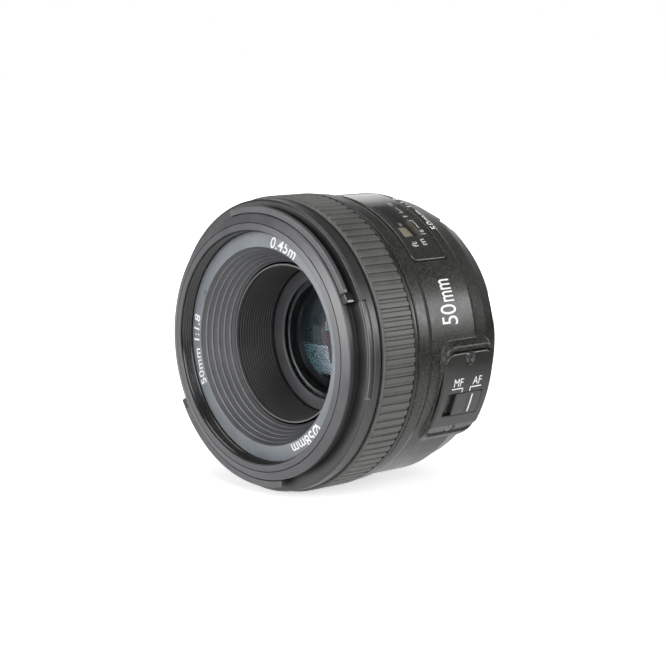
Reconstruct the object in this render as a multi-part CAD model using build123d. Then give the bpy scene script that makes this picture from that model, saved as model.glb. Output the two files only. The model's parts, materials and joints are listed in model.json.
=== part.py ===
from build123d import *
import os
from math import asin, atan2, copysign, cos, degrees, pi, radians, sin, sqrt

# A 50 mm autofocus prime lens for a single-lens reflex, lying on its side.
# Every piece is first made with its axis along Y and the front edge at Y = 0, so a station is
# a distance behind the front edge. At the end each piece moves forward by flange_station, which
# puts the origin on the axis in the mounting flange. +Y is the camera side and +Z is up.
# A clock angle is seen from the front: 0 points up, 90 points to +X.

os.makedirs("parts", exist_ok=True)

# ---- driving dimensions, in millimetres and degrees ----
flange_station = 53.5          # front edge to mounting flange
mount_thickness = 1.4
roll = 28.5                    # clock angle of the lens's own top line as it lies

running_fit = 0.06             # radial clearance between a turning or sliding pair
seat_fit = 0.03                # clearance between two pieces that are fixed together
part_gap = 0.3                 # clearance between pieces that pass each other

# how thick each layer of the barrel is, from the guide tube outwards
guide_inner = 24.0
guide_wall = 1.2
cam_wall = 1.34
drive_room = 5.8               # for the gears, the motor and the distance scale
sleeve_wall = 1.3
focus_wall = 1.54
grip_thickness = 1.65
band_drop = 0.65               # how far the front band lies below the grip
casing_drop = 1.0              # how far the rear casing lies below the grip
front_ring_width = 7.7         # from the filter thread out to the front band
guide_outer = guide_inner + guide_wall
cam_inner = guide_outer + running_fit
cam_outer = cam_inner + cam_wall
sleeve_inner = cam_outer + drive_room
sleeve_outer = sleeve_inner + sleeve_wall
focus_inner = sleeve_outer + running_fit
focus_ring_outer = focus_inner + focus_wall
grip_radius = focus_ring_outer + grip_thickness
band_radius = grip_radius - band_drop
casing_radius = grip_radius - casing_drop
thread_radius = band_radius - front_ring_width

# front ring: filter thread inside, hood bayonet outside
mouth_chamfer = 0.4
mouth_radius = thread_radius + mouth_chamfer
face_width = 2.3
face_radius = thread_radius + face_width
face_drop = 0.4
shoulder_width = 2.1
shoulder_radius = face_radius + shoulder_width
shoulder_drop = 1.2
hood_tab_height = 1.8
hood_tab_radius = shoulder_radius + hood_tab_height
hood_tab_front = 1.4
hood_tab_rear = 2.6
hood_groove_cut = 0.8
hood_groove_radius = shoulder_radius - hood_groove_cut
hood_tab_arcs = [(-18.0, 66.0), (166.0, 246.0)]
hood_stop_arc = 4.2
band_front = 4.4
band_rear = 8.2
band_edge = 0.35
hood_key_depth = 0.35
hood_key_arc = (66.0, 104.0)
hood_key_width = 1.7

# name ring and stepped baffle
name_ring_width = 3.9
name_ring_inner = thread_radius - name_ring_width
name_ring_front = 3.05
name_ring_slope = 0.75
name_seat_radius = thread_radius + 0.4
name_seat_front = 3.0
name_ring_thickness = 1.0
baffle_steps = 6
baffle_end = 11.2
barrel_outer = 19.95
baffle_gap = 0.35
baffle_exit = barrel_outer + baffle_gap
baffle_wall = 0.9

# front barrel: the fixed sleeve that the focus ring turns on
sleeve_disc_thickness = 1.4
sleeve_end = 24.0

# focus ring and its grip
focus_front = 8.6
focus_rear = 20.3
grip_rear = 19.1
grip_ribs = 102
rib_groove = 1.1
rib_depth = 0.4
rib_turn = 0.88                # clock angle of the first groove
focus_travel = 100.0
focus_extension = 7.5

# guide tube and cam ring
guide_flange_front = 12.9
guide_flange_thickness = 1.4
guide_end = 48.0
cam_front = 14.5
cam_rear = 35.6
roller_station = 29.0
roller_radius = 1.5
roller_clock = 40.0
guide_count = 3
guide_foot_thickness = 0.7
guide_foot_width = 3.2
collar_height = 0.6
collar_width = 0.5

# key that joins the focus ring to the cam ring
key_clock = 250.0
key_arc = 8.0
key_front = 15.4
key_length = 2.8
key_screw_radius = 0.5
key_screw_head = 1.0
key_screw_sink = 0.6
key_screw_spread = 4.4

# distance scale drum
scale_depth = 3.55
scale_inner = casing_radius - scale_depth
scale_wall = 0.8
scale_front = 27.8
scale_rear = 35.4
scale_web_station = 31.2
scale_web = 1.0
scale_margin = 6.0

# rear casing
casing_rear = flange_station - mount_thickness
casing_front = 20.7
casing_lip = 0.65
casing_lip_radius = casing_radius + casing_lip
casing_lip_end = 24.2
casing_step_end = 25.8
casing_knee_drop = 0.45
casing_knee = 1.0
casing_waist_drop = 1.65
casing_waist_radius = casing_radius - casing_waist_drop
casing_waist_length = 5.1
casing_waist_station = casing_rear - casing_waist_length
casing_taper_length = 6.2
casing_taper_start = casing_waist_station - casing_taper_length
casing_rear_drop = 2.2
casing_rear_radius = casing_waist_radius - casing_rear_drop
casing_wall = 1.65
casing_end_wall = 1.2
index_recess_width = 5.4
index_recess_depth = 1.1
index_recess_length = 4.3
index_recess_start = casing_rear - index_recess_length
index_dot_radius = 0.9

# distance window: a thin clear plate over an opening in the casing
window_front = 26.2
window_rear = 38.3
window_half_arc = 24.5
window_height = 0.55
window_corner = 1.6
opening_front = 29.0
opening_rear = 34.9
opening_half_arc = 12.0

# focus mode switch, on a raised boss
switch_clock = 109.0
boss_height = 1.55
boss_radius = casing_radius + boss_height
boss_to_rim = 3.9
boss_length = 20.8
boss_rear = casing_rear - boss_to_rim
boss_front = boss_rear - boss_length
boss_half_height = 14.3
boss_corner = 5.0
boss_taper = 30.0
boss_front_rim = 2.1
plate_front = boss_front + boss_front_rim
boss_rear_rim = 1.6
plate_rear = boss_rear - boss_rear_rim
plate_half_height = 11.6
plate_corner = 3.2
plate_recess = 0.35
plate_outer = boss_radius - plate_recess
plate_thickness = 1.1
slot_margin = 2.5
slot_front = plate_front + slot_margin
slot_rear = plate_rear - slot_margin
slot_clock = 112.2
slot_height = 6.4
knob_length = 9.0
knob_height = 6.1
knob_proud = 0.25
knob_travel = 2.8
knob_base_length = 12.6
knob_base_height = 7.6
knob_base_thickness = 1.1
plate_screw_spread = 20.0
plate_screw_radius = 0.6
plate_screw_head = 1.15
plate_screw_length = 2.6
plate_screw_sink = 0.75
board_thickness = 0.8

# mounting ring: flange, bayonet tube and its three lugs
mount_inset = 1.2
mount_radius = casing_rear_radius - mount_inset
bayonet_inner = 20.6
bayonet_wall = 1.3
bayonet_outer = bayonet_inner + bayonet_wall
bayonet_depth = 5.5
lug_height = 1.6
lug_radius = bayonet_outer + lug_height
lug_front = 3.3
lug_thickness = 1.4
lug_arc = 58.0
lug_count = 3
mount_screw_count = 5
mount_screw_inset = 4.4
mount_screw_turn = 36.0
mount_screw_circle = mount_radius - mount_screw_inset
mount_screw_radius = 0.8
mount_screw_head = 1.6
mount_screw_head_depth = 0.8
mount_screw_length = 4.0
boss_wall = 1.0

# rear frame
frame_disc_front = casing_waist_station
frame_disc_thickness = 1.2
frame_gap = 0.7
frame_outer = casing_rear_radius - frame_gap
frame_step = 1.4
frame_wall_outer = frame_outer - frame_step
frame_wall = 1.4
frame_screw_inset = 3.2
frame_screw_circle = frame_wall_outer - frame_screw_inset
frame_screw_radius = 0.6
frame_screw_head = 1.1
frame_screw_head_depth = 0.6
frame_screw_length = 2.4
frame_screw_count = 3

# rear baffle and electrical contacts
rear_baffle_inner = 15.3
rear_baffle_depth = 3.0
rear_baffle_front = flange_station + rear_baffle_depth
rear_baffle_thickness = 0.8
contact_count = 10
contact_pitch = 6.2
contact_inset = 1.6
contact_circle = bayonet_inner - contact_inset
contact_radius = 0.5
contact_proud = 0.3
contact_block_width = 3.0
contact_block_inner = bayonet_inner - contact_block_width
contact_block_depth = 1.6
circuit_inner = 21.0
circuit_arc = 96.0
circuit_thickness = 0.8
chip_sizes = [(5.0, 4.0), (3.2, 3.2), (6.0, 3.0)]
chip_height = 1.0
chip_spacing = 27.0

# focus motor and its gear train
motor_clock = 208.5
motor_radius = 3.0
motor_length = 7.6
motor_shaft_radius = 0.4
ring_gear_teeth = 136
ring_gear_rise = 0.6
ring_gear_pitch = cam_outer + ring_gear_rise
ring_gear_module = 2 * ring_gear_pitch / ring_gear_teeth
ring_gear_width = 1.6
idler_small_teeth = 10
idler_big_teeth = 20
pinion_teeth = 10
drive_module = 0.3
gear_width = 1.0
gear_tooth_share = 0.34
idler_pin_radius = 0.5
bracket_thickness = 0.8
bracket_half_arc = 15.0
bracket_gap = 1.5
bracket_outer = casing_radius - casing_wall - bracket_gap

# moving optical unit
barrel_lip_width = 0.4
barrel_lip = barrel_outer - barrel_lip_width
barrel_front = 10.8
barrel_wall = 1.0
barrel_end = 43.6
barrel_ribs = 8
rib_zone_end = 22.6
rib_inset = 0.6
rib_start_radius = barrel_outer - rib_inset
rib_zone_taper = 0.6
rib_end_radius = rib_start_radius - rib_zone_taper
rib_relief = 0.35
carrier_front = 26.8
carrier_thickness = 4.4
retainer_inner = 15.4
retainer_inset = 1.35
retainer_outer = barrel_outer - retainer_inset
retainer_front = 22.9
retainer_lip = 0.6
cell_wall_front = 24.1
cell_end = 37.6
rear_cell_outer = 14.0
rear_cell_flange = 16.2
rear_cell_flange_thickness = 1.0
rear_cell_end = 57.3
rear_cell_lip = 1.2
rear_retainer_width = 0.9

# glass: front vertex, its curve, rear vertex, its curve, rim radius, clear radii front and rear
lens_shapes = {
    "lens_1": (20.9, 35.5, 25.1, 150.0, 17.0, 17.0, 17.0),
    "lens_2": (25.3, 19.8, 30.9, 60.0, 14.0, 14.0, 14.0),
    "lens_3": (31.2, 60.0, 32.6, 12.9, 12.0, 12.0, 9.8),
    "lens_4": (47.0, -14.1, 48.2, 0.0, 12.0, 9.5, 12.0),
    "lens_5": (48.2, 0.0, 54.0, -18.9, 12.0, 12.0, 12.0),
    "lens_6": (54.2, 75.0, 58.3, -37.0, 12.5, 12.5, 12.5),
}

# iris
blade_count = 7
blade_inner = 11.0
blade_outer = 16.2
blade_arc = 100.0
blade_pivot_circle = 17.1
blade_tab_radius = 0.75
blade_arm = 1.7
blade_arm_radius = 0.5
blade_pivot_radius = 0.4
blade_pin_radius = 0.25
blade_thickness = 0.14
blade_pitch = 0.23
blade_swing = 30.5
iris_base_front = 38.3
iris_base_thickness = 0.8
iris_opening = 10.8
iris_wall_inner = 18.3
iris_ring_inner = 12.6
iris_ring_front = 40.9
iris_ring_thickness = 0.7
iris_cover_front = 41.8
iris_cover_thickness = 0.8
iris_pin_slot_clearance = 0.08

# aperture lever, its fork and the return spring
lever_travel = 30.0
lever_setback = 3.0
lever_front = frame_disc_front - lever_setback
lever_thickness = 1.2
lever_gap = 0.85
lever_inner = barrel_outer + lever_gap
fork_clock = 344.0
fork_width = 3.2
rod_circle = 17.2
rod_radius = 0.6
rod_end = 52.4
arm_clock = 150.0
arm_depth = 1.4
arm_gap = 1.6
arm_outer = bayonet_inner - arm_gap
arm_inner = arm_outer - arm_depth
arm_width = 1.4
arm_reach = 5.1
arm_end = flange_station + arm_reach
lever_retainer_width = 1.0
lever_retainer_thickness = 0.8
post_inset = 2.3
post_circle = guide_inner - post_inset
post_radius = 0.5
post_reach = 1.3
post_end = frame_disc_front + post_reach
spring_clock = 200.0
spring_arc = 40.0
spring_radius = 0.8
spring_wire = 0.14
spring_pitch = 0.75
spring_station = frame_disc_front
spring_foot_arc = 8.0
spring_foot_thickness = 0.9


# ---- helpers ----
def polar(radius, clock):
    """Point in the cross-section plane at this radius and clock angle."""
    return radius * sin(radians(clock)), radius * cos(radians(clock))


def at_clock(shape, clock):
    """Turn a shape that was made at the top, clock 0, to this clock angle."""
    return Rot(0, clock, 0) * shape


def turned(*points):
    """Solid turned about the axis; each point is (radius, station)."""
    return revolve(make_face(Polyline(*points, close=True)), Axis.Y)


def tube(inner, outer, start, end):
    """Plain tube about the axis between two stations."""
    return turned((inner, start), (outer, start), (outer, end), (inner, end))


def sector(inner, outer, start, end, clock_start, clock_end):
    """Piece of a tube between two clock angles."""
    outline = make_face(Polyline((inner, start), (outer, start), (outer, end), (inner, end), close=True))
    return at_clock(revolve(outline, Axis.Y, clock_end - clock_start), clock_start - 90)


def plate(outline, start, end):
    """Flat plate across the axis, from a sketch whose axes are X and Z."""
    return extrude(Plane.XZ.offset(-start) * outline, amount=start - end)


def rod(radius, circle, clock, start, end):
    """Round bar parallel to the axis."""
    return plate(Pos(*polar(circle, clock)) * Circle(radius), start, end)


def radial_plane(clock, station, height=0.0):
    """Plane facing outwards at a clock angle: its x runs along the axis towards the rear."""
    outward = Vector(sin(radians(clock)), 0, cos(radians(clock)))
    return Plane(origin=outward * height + Vector(0, station, 0), x_dir=(0, 1, 0), z_dir=outward)


def radial_block(clock, start, end, half_height, corner, low, high, taper=0.0):
    """Rounded block that stands out radially between two heights above the axis."""
    outline = RectangleRounded(end - start, 2 * half_height, corner)
    base = radial_plane(clock, (start + end) / 2, low)
    return extrude(base * outline, amount=high - low, taper=taper)


def radial_rod(radius, clock, station, low, high):
    """Round bar along a radius, such as a screw or a roller."""
    return extrude(radial_plane(clock, station, low) * Circle(radius), amount=high - low)


def save(name, shape):
    """Put the finished piece in the lens's own frame and write it."""
    shapes = shape if isinstance(shape, list) else [shape]
    placed = [Pos(0, -flange_station, 0) * solid for item in shapes for solid in item.solids()]
    export_step(placed[0] if len(placed) == 1 else Compound(children=placed), f"parts/{name}.step")


# ---- values that follow from the ones above ----
sleeve_disc_front = name_ring_front + name_ring_slope + name_ring_thickness
roller_end = cam_outer + 0.2
scale_outer = scale_inner + scale_wall
idler_circle = ring_gear_pitch + ring_gear_module * idler_small_teeth / 2
drive_distance = drive_module * (idler_big_teeth + pinion_teeth) / 2
pinion_offset = 2 * degrees(asin(drive_distance / 2 / idler_circle))
drive_front = cam_rear + part_gap + 0.3
bracket_front = drive_front + gear_width + part_gap + 0.1
motor_front = bracket_front + bracket_thickness
knob_rear = slot_rear - 0.1
plate_inner = plate_outer - plate_thickness
plate_middle = (plate_front + plate_rear) / 2
carrier_radius = guide_inner - running_fit
lever_outer = guide_inner - running_fit
lever_rear = lever_front + lever_thickness
frame_disc_rear = frame_disc_front + frame_disc_thickness
mount_front = flange_station - mount_thickness
bayonet_end = flange_station + bayonet_depth
roller_clocks = [roller_clock + 360 / guide_count * turn for turn in range(guide_count)]
blade_clocks = [360 / blade_count * turn for turn in range(blade_count)]
mount_screw_clocks = [roll + mount_screw_turn + 360 / mount_screw_count * turn
                      for turn in range(mount_screw_count)]
frame_screw_clocks = [roll + 360 / frame_screw_count * turn for turn in range(frame_screw_count)]


def sag(curve, radius):
    """How far behind its vertex a spherical surface lies at this radius; a curve of 0 is a plane."""
    if curve == 0:
        return 0.0
    return curve - copysign(sqrt(curve ** 2 - radius ** 2), curve)


# ---- front of the lens ----
def front_ring():
    bezel = turned(
        (mouth_radius, 0), (face_radius, face_drop), (shoulder_radius, shoulder_drop),
        (shoulder_radius, hood_tab_rear), (hood_groove_radius, hood_tab_rear),
        (hood_groove_radius, band_front), (band_radius - band_edge, band_front),
        (band_radius, band_front + band_edge), (band_radius, band_rear),
        (sleeve_outer + seat_fit, band_rear), (sleeve_outer + seat_fit, sleeve_disc_front),
        (name_seat_radius, sleeve_disc_front), (name_seat_radius, name_seat_front),
        (thread_radius, name_seat_front), (thread_radius, mouth_chamfer))
    for start, end in hood_tab_arcs:
        bezel += sector(shoulder_radius - 1, hood_tab_radius, hood_tab_front, hood_tab_rear, start, end)
        bezel += sector(hood_groove_radius - 1, hood_tab_radius, hood_tab_front, band_front,
                        end - hood_stop_arc, end)
    key = sector(band_radius - hood_key_depth, band_radius + 1, band_front - 1,
                 band_front + hood_key_width, *hood_key_arc)
    return bezel - key


def front_barrel():
    sleeve = tube(sleeve_inner, sleeve_outer, sleeve_disc_front, sleeve_end)
    disc = tube(name_ring_inner + baffle_wall + seat_fit, sleeve_outer, sleeve_disc_front,
                sleeve_disc_front + sleeve_disc_thickness)
    key_margin = degrees(part_gap / sleeve_outer) + key_arc / 2 + 1
    slot = sector(sleeve_inner - 1, sleeve_outer + 1, key_front - part_gap,
                  key_front + key_length + part_gap, key_clock - key_margin,
                  key_clock + focus_travel + key_margin)
    return sleeve + disc - slot


def name_ring():
    outer = name_seat_radius - seat_fit
    rear = sleeve_disc_front
    return turned((name_ring_inner, name_ring_front), (outer, name_ring_front + name_ring_slope),
                  (outer, rear), (name_ring_inner, rear))


def front_baffle():
    """Stepped funnel from the name ring down to the moving barrel."""
    start = sleeve_disc_front
    step_length = (baffle_end - name_ring_front) / baffle_steps
    step_drop = (name_ring_inner - baffle_exit) / baffle_steps
    inner = []
    for step in range(baffle_steps):
        radius = name_ring_inner - seat_fit - step_drop * step
        inner.append((radius, name_ring_front + step_length * step))
        inner.append((radius - step_drop * 0.15, name_ring_front + step_length * (step + 1)))
    outer = [(baffle_exit + baffle_wall, baffle_end),
             (name_ring_inner + baffle_wall, start + sleeve_disc_thickness),
             (name_ring_inner + baffle_wall, start),
             (name_ring_inner - seat_fit, start)]
    return turned(*inner[:-1], (baffle_exit, baffle_end), *outer)


# ---- focusing mechanism ----
def focus_ring():
    ring = turned((focus_inner, focus_front), (focus_ring_outer, focus_front),
                  (focus_ring_outer, grip_rear), (grip_radius, grip_rear + seat_fit),
                  (grip_radius, focus_rear), (focus_inner, focus_rear))
    for clock in key_screw_clocks():
        station = key_front + key_length / 2
        ring -= radial_rod(key_screw_head + seat_fit, clock, station,
                           focus_ring_outer - key_screw_sink, focus_ring_outer + 1)
        ring -= radial_rod(key_screw_radius + seat_fit, clock, station, focus_inner - 1, focus_ring_outer)
    return ring


def focus_grip():
    """Rubber sleeve with one straight groove between each pair of ribs."""
    outline = Circle(grip_radius) - Circle(focus_ring_outer + seat_fit)
    groove = Pos(0, grip_radius) * Rectangle(rib_groove, 2 * rib_depth)
    outline -= [Rot(0, 0, 360 / grip_ribs * rib) * groove for rib in range(grip_ribs)]
    return at_clock(plate(outline, focus_front, grip_rear), rib_turn)


def key_screw_clocks():
    half = degrees(key_screw_spread / 2 / focus_ring_outer)
    return [key_clock - half, key_clock + half]


def focus_key():
    key = sector(cam_outer + seat_fit, focus_inner - seat_fit, key_front, key_front + key_length,
                 key_clock - key_arc / 2, key_clock + key_arc / 2)
    for clock in key_screw_clocks():
        key -= radial_rod(key_screw_radius, clock, key_front + key_length / 2,
                          focus_inner - 3, focus_inner + 1)
    return key


def focus_key_screws():
    screws = []
    for clock in key_screw_clocks():
        station = key_front + key_length / 2
        screws.append(radial_rod(key_screw_radius, clock, station, focus_inner - 3, focus_ring_outer - 0.05)
                      + radial_rod(key_screw_head, clock, station,
                                   focus_ring_outer - key_screw_sink, focus_ring_outer - 0.05))
    return screws


def gear_outline(module, teeth, share=gear_tooth_share):
    """Straight-sided gear outline, with thin teeth so that it runs with backlash."""
    pitch = module * teeth / 2
    root = pitch - 1.2 * module
    tip = pitch + 0.85 * module
    width = pi * module * share
    tooth = make_face(Polyline((-width * 0.75, root - 0.1), (-width * 0.3, tip), (width * 0.3, tip),
                               (width * 0.75, root - 0.1), close=True))
    return Circle(root) + [Rot(0, 0, 360 / teeth * turn) * tooth for turn in range(teeth)]


def cam_slot(clock):
    """Helical slot: the roller moves forward as the cam ring turns clockwise."""
    front = roller_station - focus_extension
    middle = (cam_inner + cam_outer) / 2
    width = 2 * (roller_radius + running_fit)
    path = Helix(pitch=focus_extension * 360 / focus_travel, height=focus_extension, radius=middle,
                 center=(0, front, 0), direction=(0, 1, 0))
    start = path @ 0
    section = Plane(origin=start, x_dir=Vector(start.X, 0, start.Z), z_dir=path % 0)
    cutter = sweep(section * Rectangle(2 * (cam_outer - cam_inner) + 2, width), path=path, is_frenet=True)
    cutter = at_clock(cutter, clock - focus_travel - degrees(atan2(start.X, start.Z)))
    for end_clock, station in ((clock - focus_travel, front), (clock, roller_station)):
        cutter += radial_rod(width / 2, end_clock, station, cam_inner - 1, cam_outer + 1)
    return cutter


def cam_ring():
    ring = tube(cam_inner, cam_outer, cam_front, cam_rear)
    gear_front = cam_rear - ring_gear_width
    teeth = Rot(0, 0, -motor_clock) * gear_outline(ring_gear_module, ring_gear_teeth) - Circle(cam_inner)
    ring += plate(teeth, gear_front, cam_rear)
    for clock in roller_clocks:
        ring -= cam_slot(clock)
    return ring


def distance_scale():
    """Curved scale plate on a web from the cam ring, wide enough for the whole focus travel."""
    start = roll - opening_half_arc - focus_travel - scale_margin
    end = roll + opening_half_arc + scale_margin
    drum = sector(scale_inner, scale_outer, scale_front, scale_rear, start, end)
    web = sector(cam_outer + seat_fit, scale_inner + 0.1, scale_web_station,
                 scale_web_station + scale_web, start, end)
    return drum + web


def guide_tube():
    body = tube(guide_inner, guide_outer, guide_flange_front, guide_end)
    body += tube(guide_inner, sleeve_inner - seat_fit, guide_flange_front,
                 guide_flange_front + guide_flange_thickness)
    body += tube(guide_inner, guide_outer + guide_foot_width, frame_disc_front - guide_foot_thickness,
                 frame_disc_front)
    for clock in frame_screw_clocks:
        body -= rod(frame_screw_radius, frame_screw_circle, clock,
                    frame_disc_front - 1, frame_disc_front + 1)
    collar = cam_rear + part_gap / 3
    body += tube(guide_inner, guide_outer + collar_height, collar, collar + collar_width)
    for clock in roller_clocks:
        front = roller_station - focus_extension - roller_radius - running_fit
        rear = roller_station + roller_radius + running_fit
        body -= radial_block(clock, front, rear, roller_radius + running_fit, roller_radius,
                             guide_inner - 2, guide_outer + 1)
    return body


def guide_rollers():
    return [radial_rod(roller_radius, clock, roller_station, carrier_radius - 1.5, roller_end)
            for clock in roller_clocks]


# ---- moving optical unit ----
def inner_barrel():
    """Barrel that carries all the glass; its mouth is ribbed inside against stray light."""
    inner = barrel_outer - barrel_wall
    ribs = [(barrel_lip, barrel_front)]
    rib_pitch = (rib_zone_end - barrel_front) / barrel_ribs
    slope = (rib_start_radius - rib_end_radius) / barrel_ribs
    for rib in range(barrel_ribs):
        radius = rib_start_radius - slope * rib
        station = barrel_front + 0.5 + rib_pitch * rib
        ribs.append((radius, station))
        ribs.append((radius + rib_relief * 0.5, station + rib_pitch * 0.6))
    barrel = turned(*ribs, (inner, rib_zone_end), (inner, barrel_end), (barrel_outer, barrel_end),
                    (barrel_outer, carrier_front + carrier_thickness),
                    (carrier_radius, carrier_front + carrier_thickness),
                    (carrier_radius, carrier_front), (barrel_outer, carrier_front),
                    (barrel_outer, barrel_front))
    for clock in roller_clocks:
        barrel -= radial_rod(roller_radius, clock, roller_station, carrier_radius - 1.5, carrier_radius + 1)
    return barrel


def lens_element(front, front_curve, rear, rear_curve, rim, front_clear, rear_clear):
    """One piece of glass, turned from two arcs, the rim and any flat between them."""
    front_edge = front + sag(front_curve, front_clear)
    rear_edge = rear + sag(rear_curve, rear_clear)
    outline = [Line((0, rear), (0, front))]
    if front_curve:
        middle = (front_clear / 2, front + sag(front_curve, front_clear / 2))
        outline.append(ThreePointArc((0, front), middle, (front_clear, front_edge)))
    else:
        outline.append(Line((0, front), (front_clear, front_edge)))
    corners = [(front_clear, front_edge), (rim, front_edge), (rim, rear_edge), (rear_clear, rear_edge)]
    for start, end in zip(corners, corners[1:]):
        if start != end:
            outline.append(Line(start, end))
    if rear_curve:
        middle = (rear_clear / 2, rear + sag(rear_curve, rear_clear / 2))
        outline.append(ThreePointArc((rear_clear, rear_edge), middle, (0, rear)))
    else:
        outline.append(Line((rear_clear, rear_edge), (0, rear)))
    return revolve(make_face(outline), Axis.Y)


def rim_span(name):
    """Stations where an element's rim starts and ends."""
    front, front_curve, rear, rear_curve, rim, front_clear, rear_clear = lens_shapes[name]
    return front + sag(front_curve, front_clear), rear + sag(rear_curve, rear_clear)


def front_cell():
    """Stepped cell with a seat behind each of the three front elements."""
    outer = barrel_outer - barrel_wall - seat_fit
    bores = []
    for name in ("lens_1", "lens_2", "lens_3"):
        bores.append((lens_shapes[name][4] + seat_fit, rim_span(name)[1] + seat_fit))
    inner = [(bores[0][0], cell_wall_front)]
    for (radius, seat), (next_radius, _) in zip(bores, bores[1:]):
        inner += [(radius, seat), (next_radius, seat)]
    exit_radius = lens_shapes["lens_3"][6]
    inner += [(bores[2][0], bores[2][1]), (exit_radius, bores[2][1]), (exit_radius, cell_end)]
    return turned(*inner, (outer, cell_end), (outer, cell_wall_front))


def front_retaining_ring():
    glass_edge = lens_shapes["lens_1"][0] + sag(lens_shapes["lens_1"][1], retainer_inner)
    seat = cell_wall_front - seat_fit
    return turned((retainer_inner, glass_edge - retainer_lip), (retainer_outer, retainer_front),
                  (retainer_outer, seat), (lens_shapes["lens_1"][4], seat),
                  (retainer_inner, glass_edge - seat_fit))


def rear_cell():
    front = iris_cover_front + iris_cover_thickness
    bore = lens_shapes["lens_4"][4] + seat_fit
    doublet_front = rim_span("lens_4")[0]
    last_front = lens_shapes["lens_6"][0] + sag(lens_shapes["lens_6"][1], bore)
    last_bore = lens_shapes["lens_6"][4] + seat_fit
    step = bore - rear_cell_lip
    return turned(
        (step, front), (step, doublet_front - seat_fit), (bore, doublet_front - seat_fit),
        (bore, last_front - seat_fit), (last_bore, last_front - seat_fit), (last_bore, rear_cell_end),
        (rear_cell_outer, rear_cell_end), (rear_cell_outer, front + rear_cell_flange_thickness),
        (rear_cell_flange, front + rear_cell_flange_thickness), (rear_cell_flange, front))


def rear_retaining_ring():
    front, front_curve, rear, rear_curve, bore = lens_shapes["lens_6"][:5]
    inner = bore - rear_retainer_width
    end = rear_cell_end - seat_fit
    return turned((bore, rear + sag(rear_curve, bore) + seat_fit),
                  (inner, rear + sag(rear_curve, inner) + seat_fit), (inner, end), (bore, end))


# ---- iris ----
def drive_pin_point(swing):
    """Centre of the drive pin of a blade whose pivot is at clock 0, after it has swung inwards."""
    u, v = polar(blade_arm, swing - 90 - blade_swing / 2)
    return u, blade_pivot_circle + v


def iris_blade(order):
    """Flat blade in its closed place; each one lies in its own layer."""
    arc = make_face([
        Line(polar(blade_outer, 0), polar(blade_inner, 0)),
        ThreePointArc(polar(blade_inner, 0), polar(blade_inner, blade_arc / 2),
                      polar(blade_inner, blade_arc)),
        Line(polar(blade_inner, blade_arc), polar(blade_outer, blade_arc)),
        ThreePointArc(polar(blade_outer, blade_arc), polar(blade_outer, blade_arc / 2),
                      polar(blade_outer, 0))])
    pivot = (0, blade_pivot_circle)
    tab = Pos(*pivot) * Circle(blade_tab_radius)
    neck = Pos(blade_tab_radius / 2, blade_outer) * Rectangle(3 * blade_tab_radius, 2 * blade_tab_radius)
    arm_tip = drive_pin_point(0)
    arm = Pos(*arm_tip) * Circle(blade_arm_radius)
    bar = trace(Line(pivot, arm_tip), line_width=2 * blade_arm_radius)
    outline = arc + tab + neck + arm + bar
    layer = iris_base_front + iris_base_thickness + 0.1 + blade_pitch * order
    blade = plate(outline, layer, layer + blade_thickness)
    blade += plate(Pos(*pivot) * Circle(blade_pivot_radius), iris_base_front + 0.1, layer + 0.05)
    blade += plate(Pos(*arm_tip) * Circle(blade_pin_radius), layer, iris_ring_front + iris_ring_thickness)
    hinge = Pos(0, 0, blade_pivot_circle)
    closed = hinge * Rot(0, blade_swing, 0) * Pos(0, 0, -blade_pivot_circle) * blade
    return at_clock(closed, blade_clocks[order])


def iris_base():
    outer = barrel_outer - barrel_wall - seat_fit
    rear = iris_base_front + iris_base_thickness
    body = tube(iris_opening, outer, iris_base_front, rear)
    body += tube(iris_wall_inner, outer, rear, iris_cover_front)
    for clock in blade_clocks:
        body -= rod(blade_pivot_radius + running_fit / 2, blade_pivot_circle, clock,
                    iris_base_front - 1, rear + 1)
    return body


def iris_ring():
    """Drive ring with one sloping cam slot for each blade and the rod that the lever's fork turns."""
    rear = iris_ring_front + iris_ring_thickness
    outline = Circle(iris_wall_inner - running_fit) - Circle(iris_ring_inner)
    slot_width = 2 * (blade_pin_radius + iris_pin_slot_clearance)
    steps = 8
    for clock in blade_clocks:
        path = []
        for step in range(steps + 1):
            share = step / steps
            u, v = drive_pin_point(blade_swing * (1 - share))
            bearing = degrees(atan2(u, v)) + clock + lever_travel * share
            path.append(polar(sqrt(u * u + v * v), bearing))
        outline -= trace(Polyline(*path), line_width=slot_width)
        for end in (path[0], path[-1]):
            outline -= Pos(*end) * Circle(slot_width / 2)
    return plate(outline, iris_ring_front, rear) + rod(rod_radius, rod_circle, fork_clock,
                                                        iris_ring_front, rod_end)


def lever_slot(inner, outer, clock, half_width, start, end):
    """Arc slot for something that travels with the aperture lever."""
    margin = degrees((half_width + part_gap) / ((inner + outer) / 2))
    return sector(inner, outer, start, end, clock - lever_travel - margin, clock + margin)


def iris_cover():
    outer = barrel_outer - barrel_wall - seat_fit
    rear = iris_cover_front + iris_cover_thickness
    slot = lever_slot(rod_circle - rod_radius - part_gap / 2, rod_circle + rod_radius + part_gap / 2,
                      fork_clock, rod_radius, iris_cover_front - 1, rear + 1)
    return tube(iris_opening + 1, outer, iris_cover_front, rear) - slot


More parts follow.
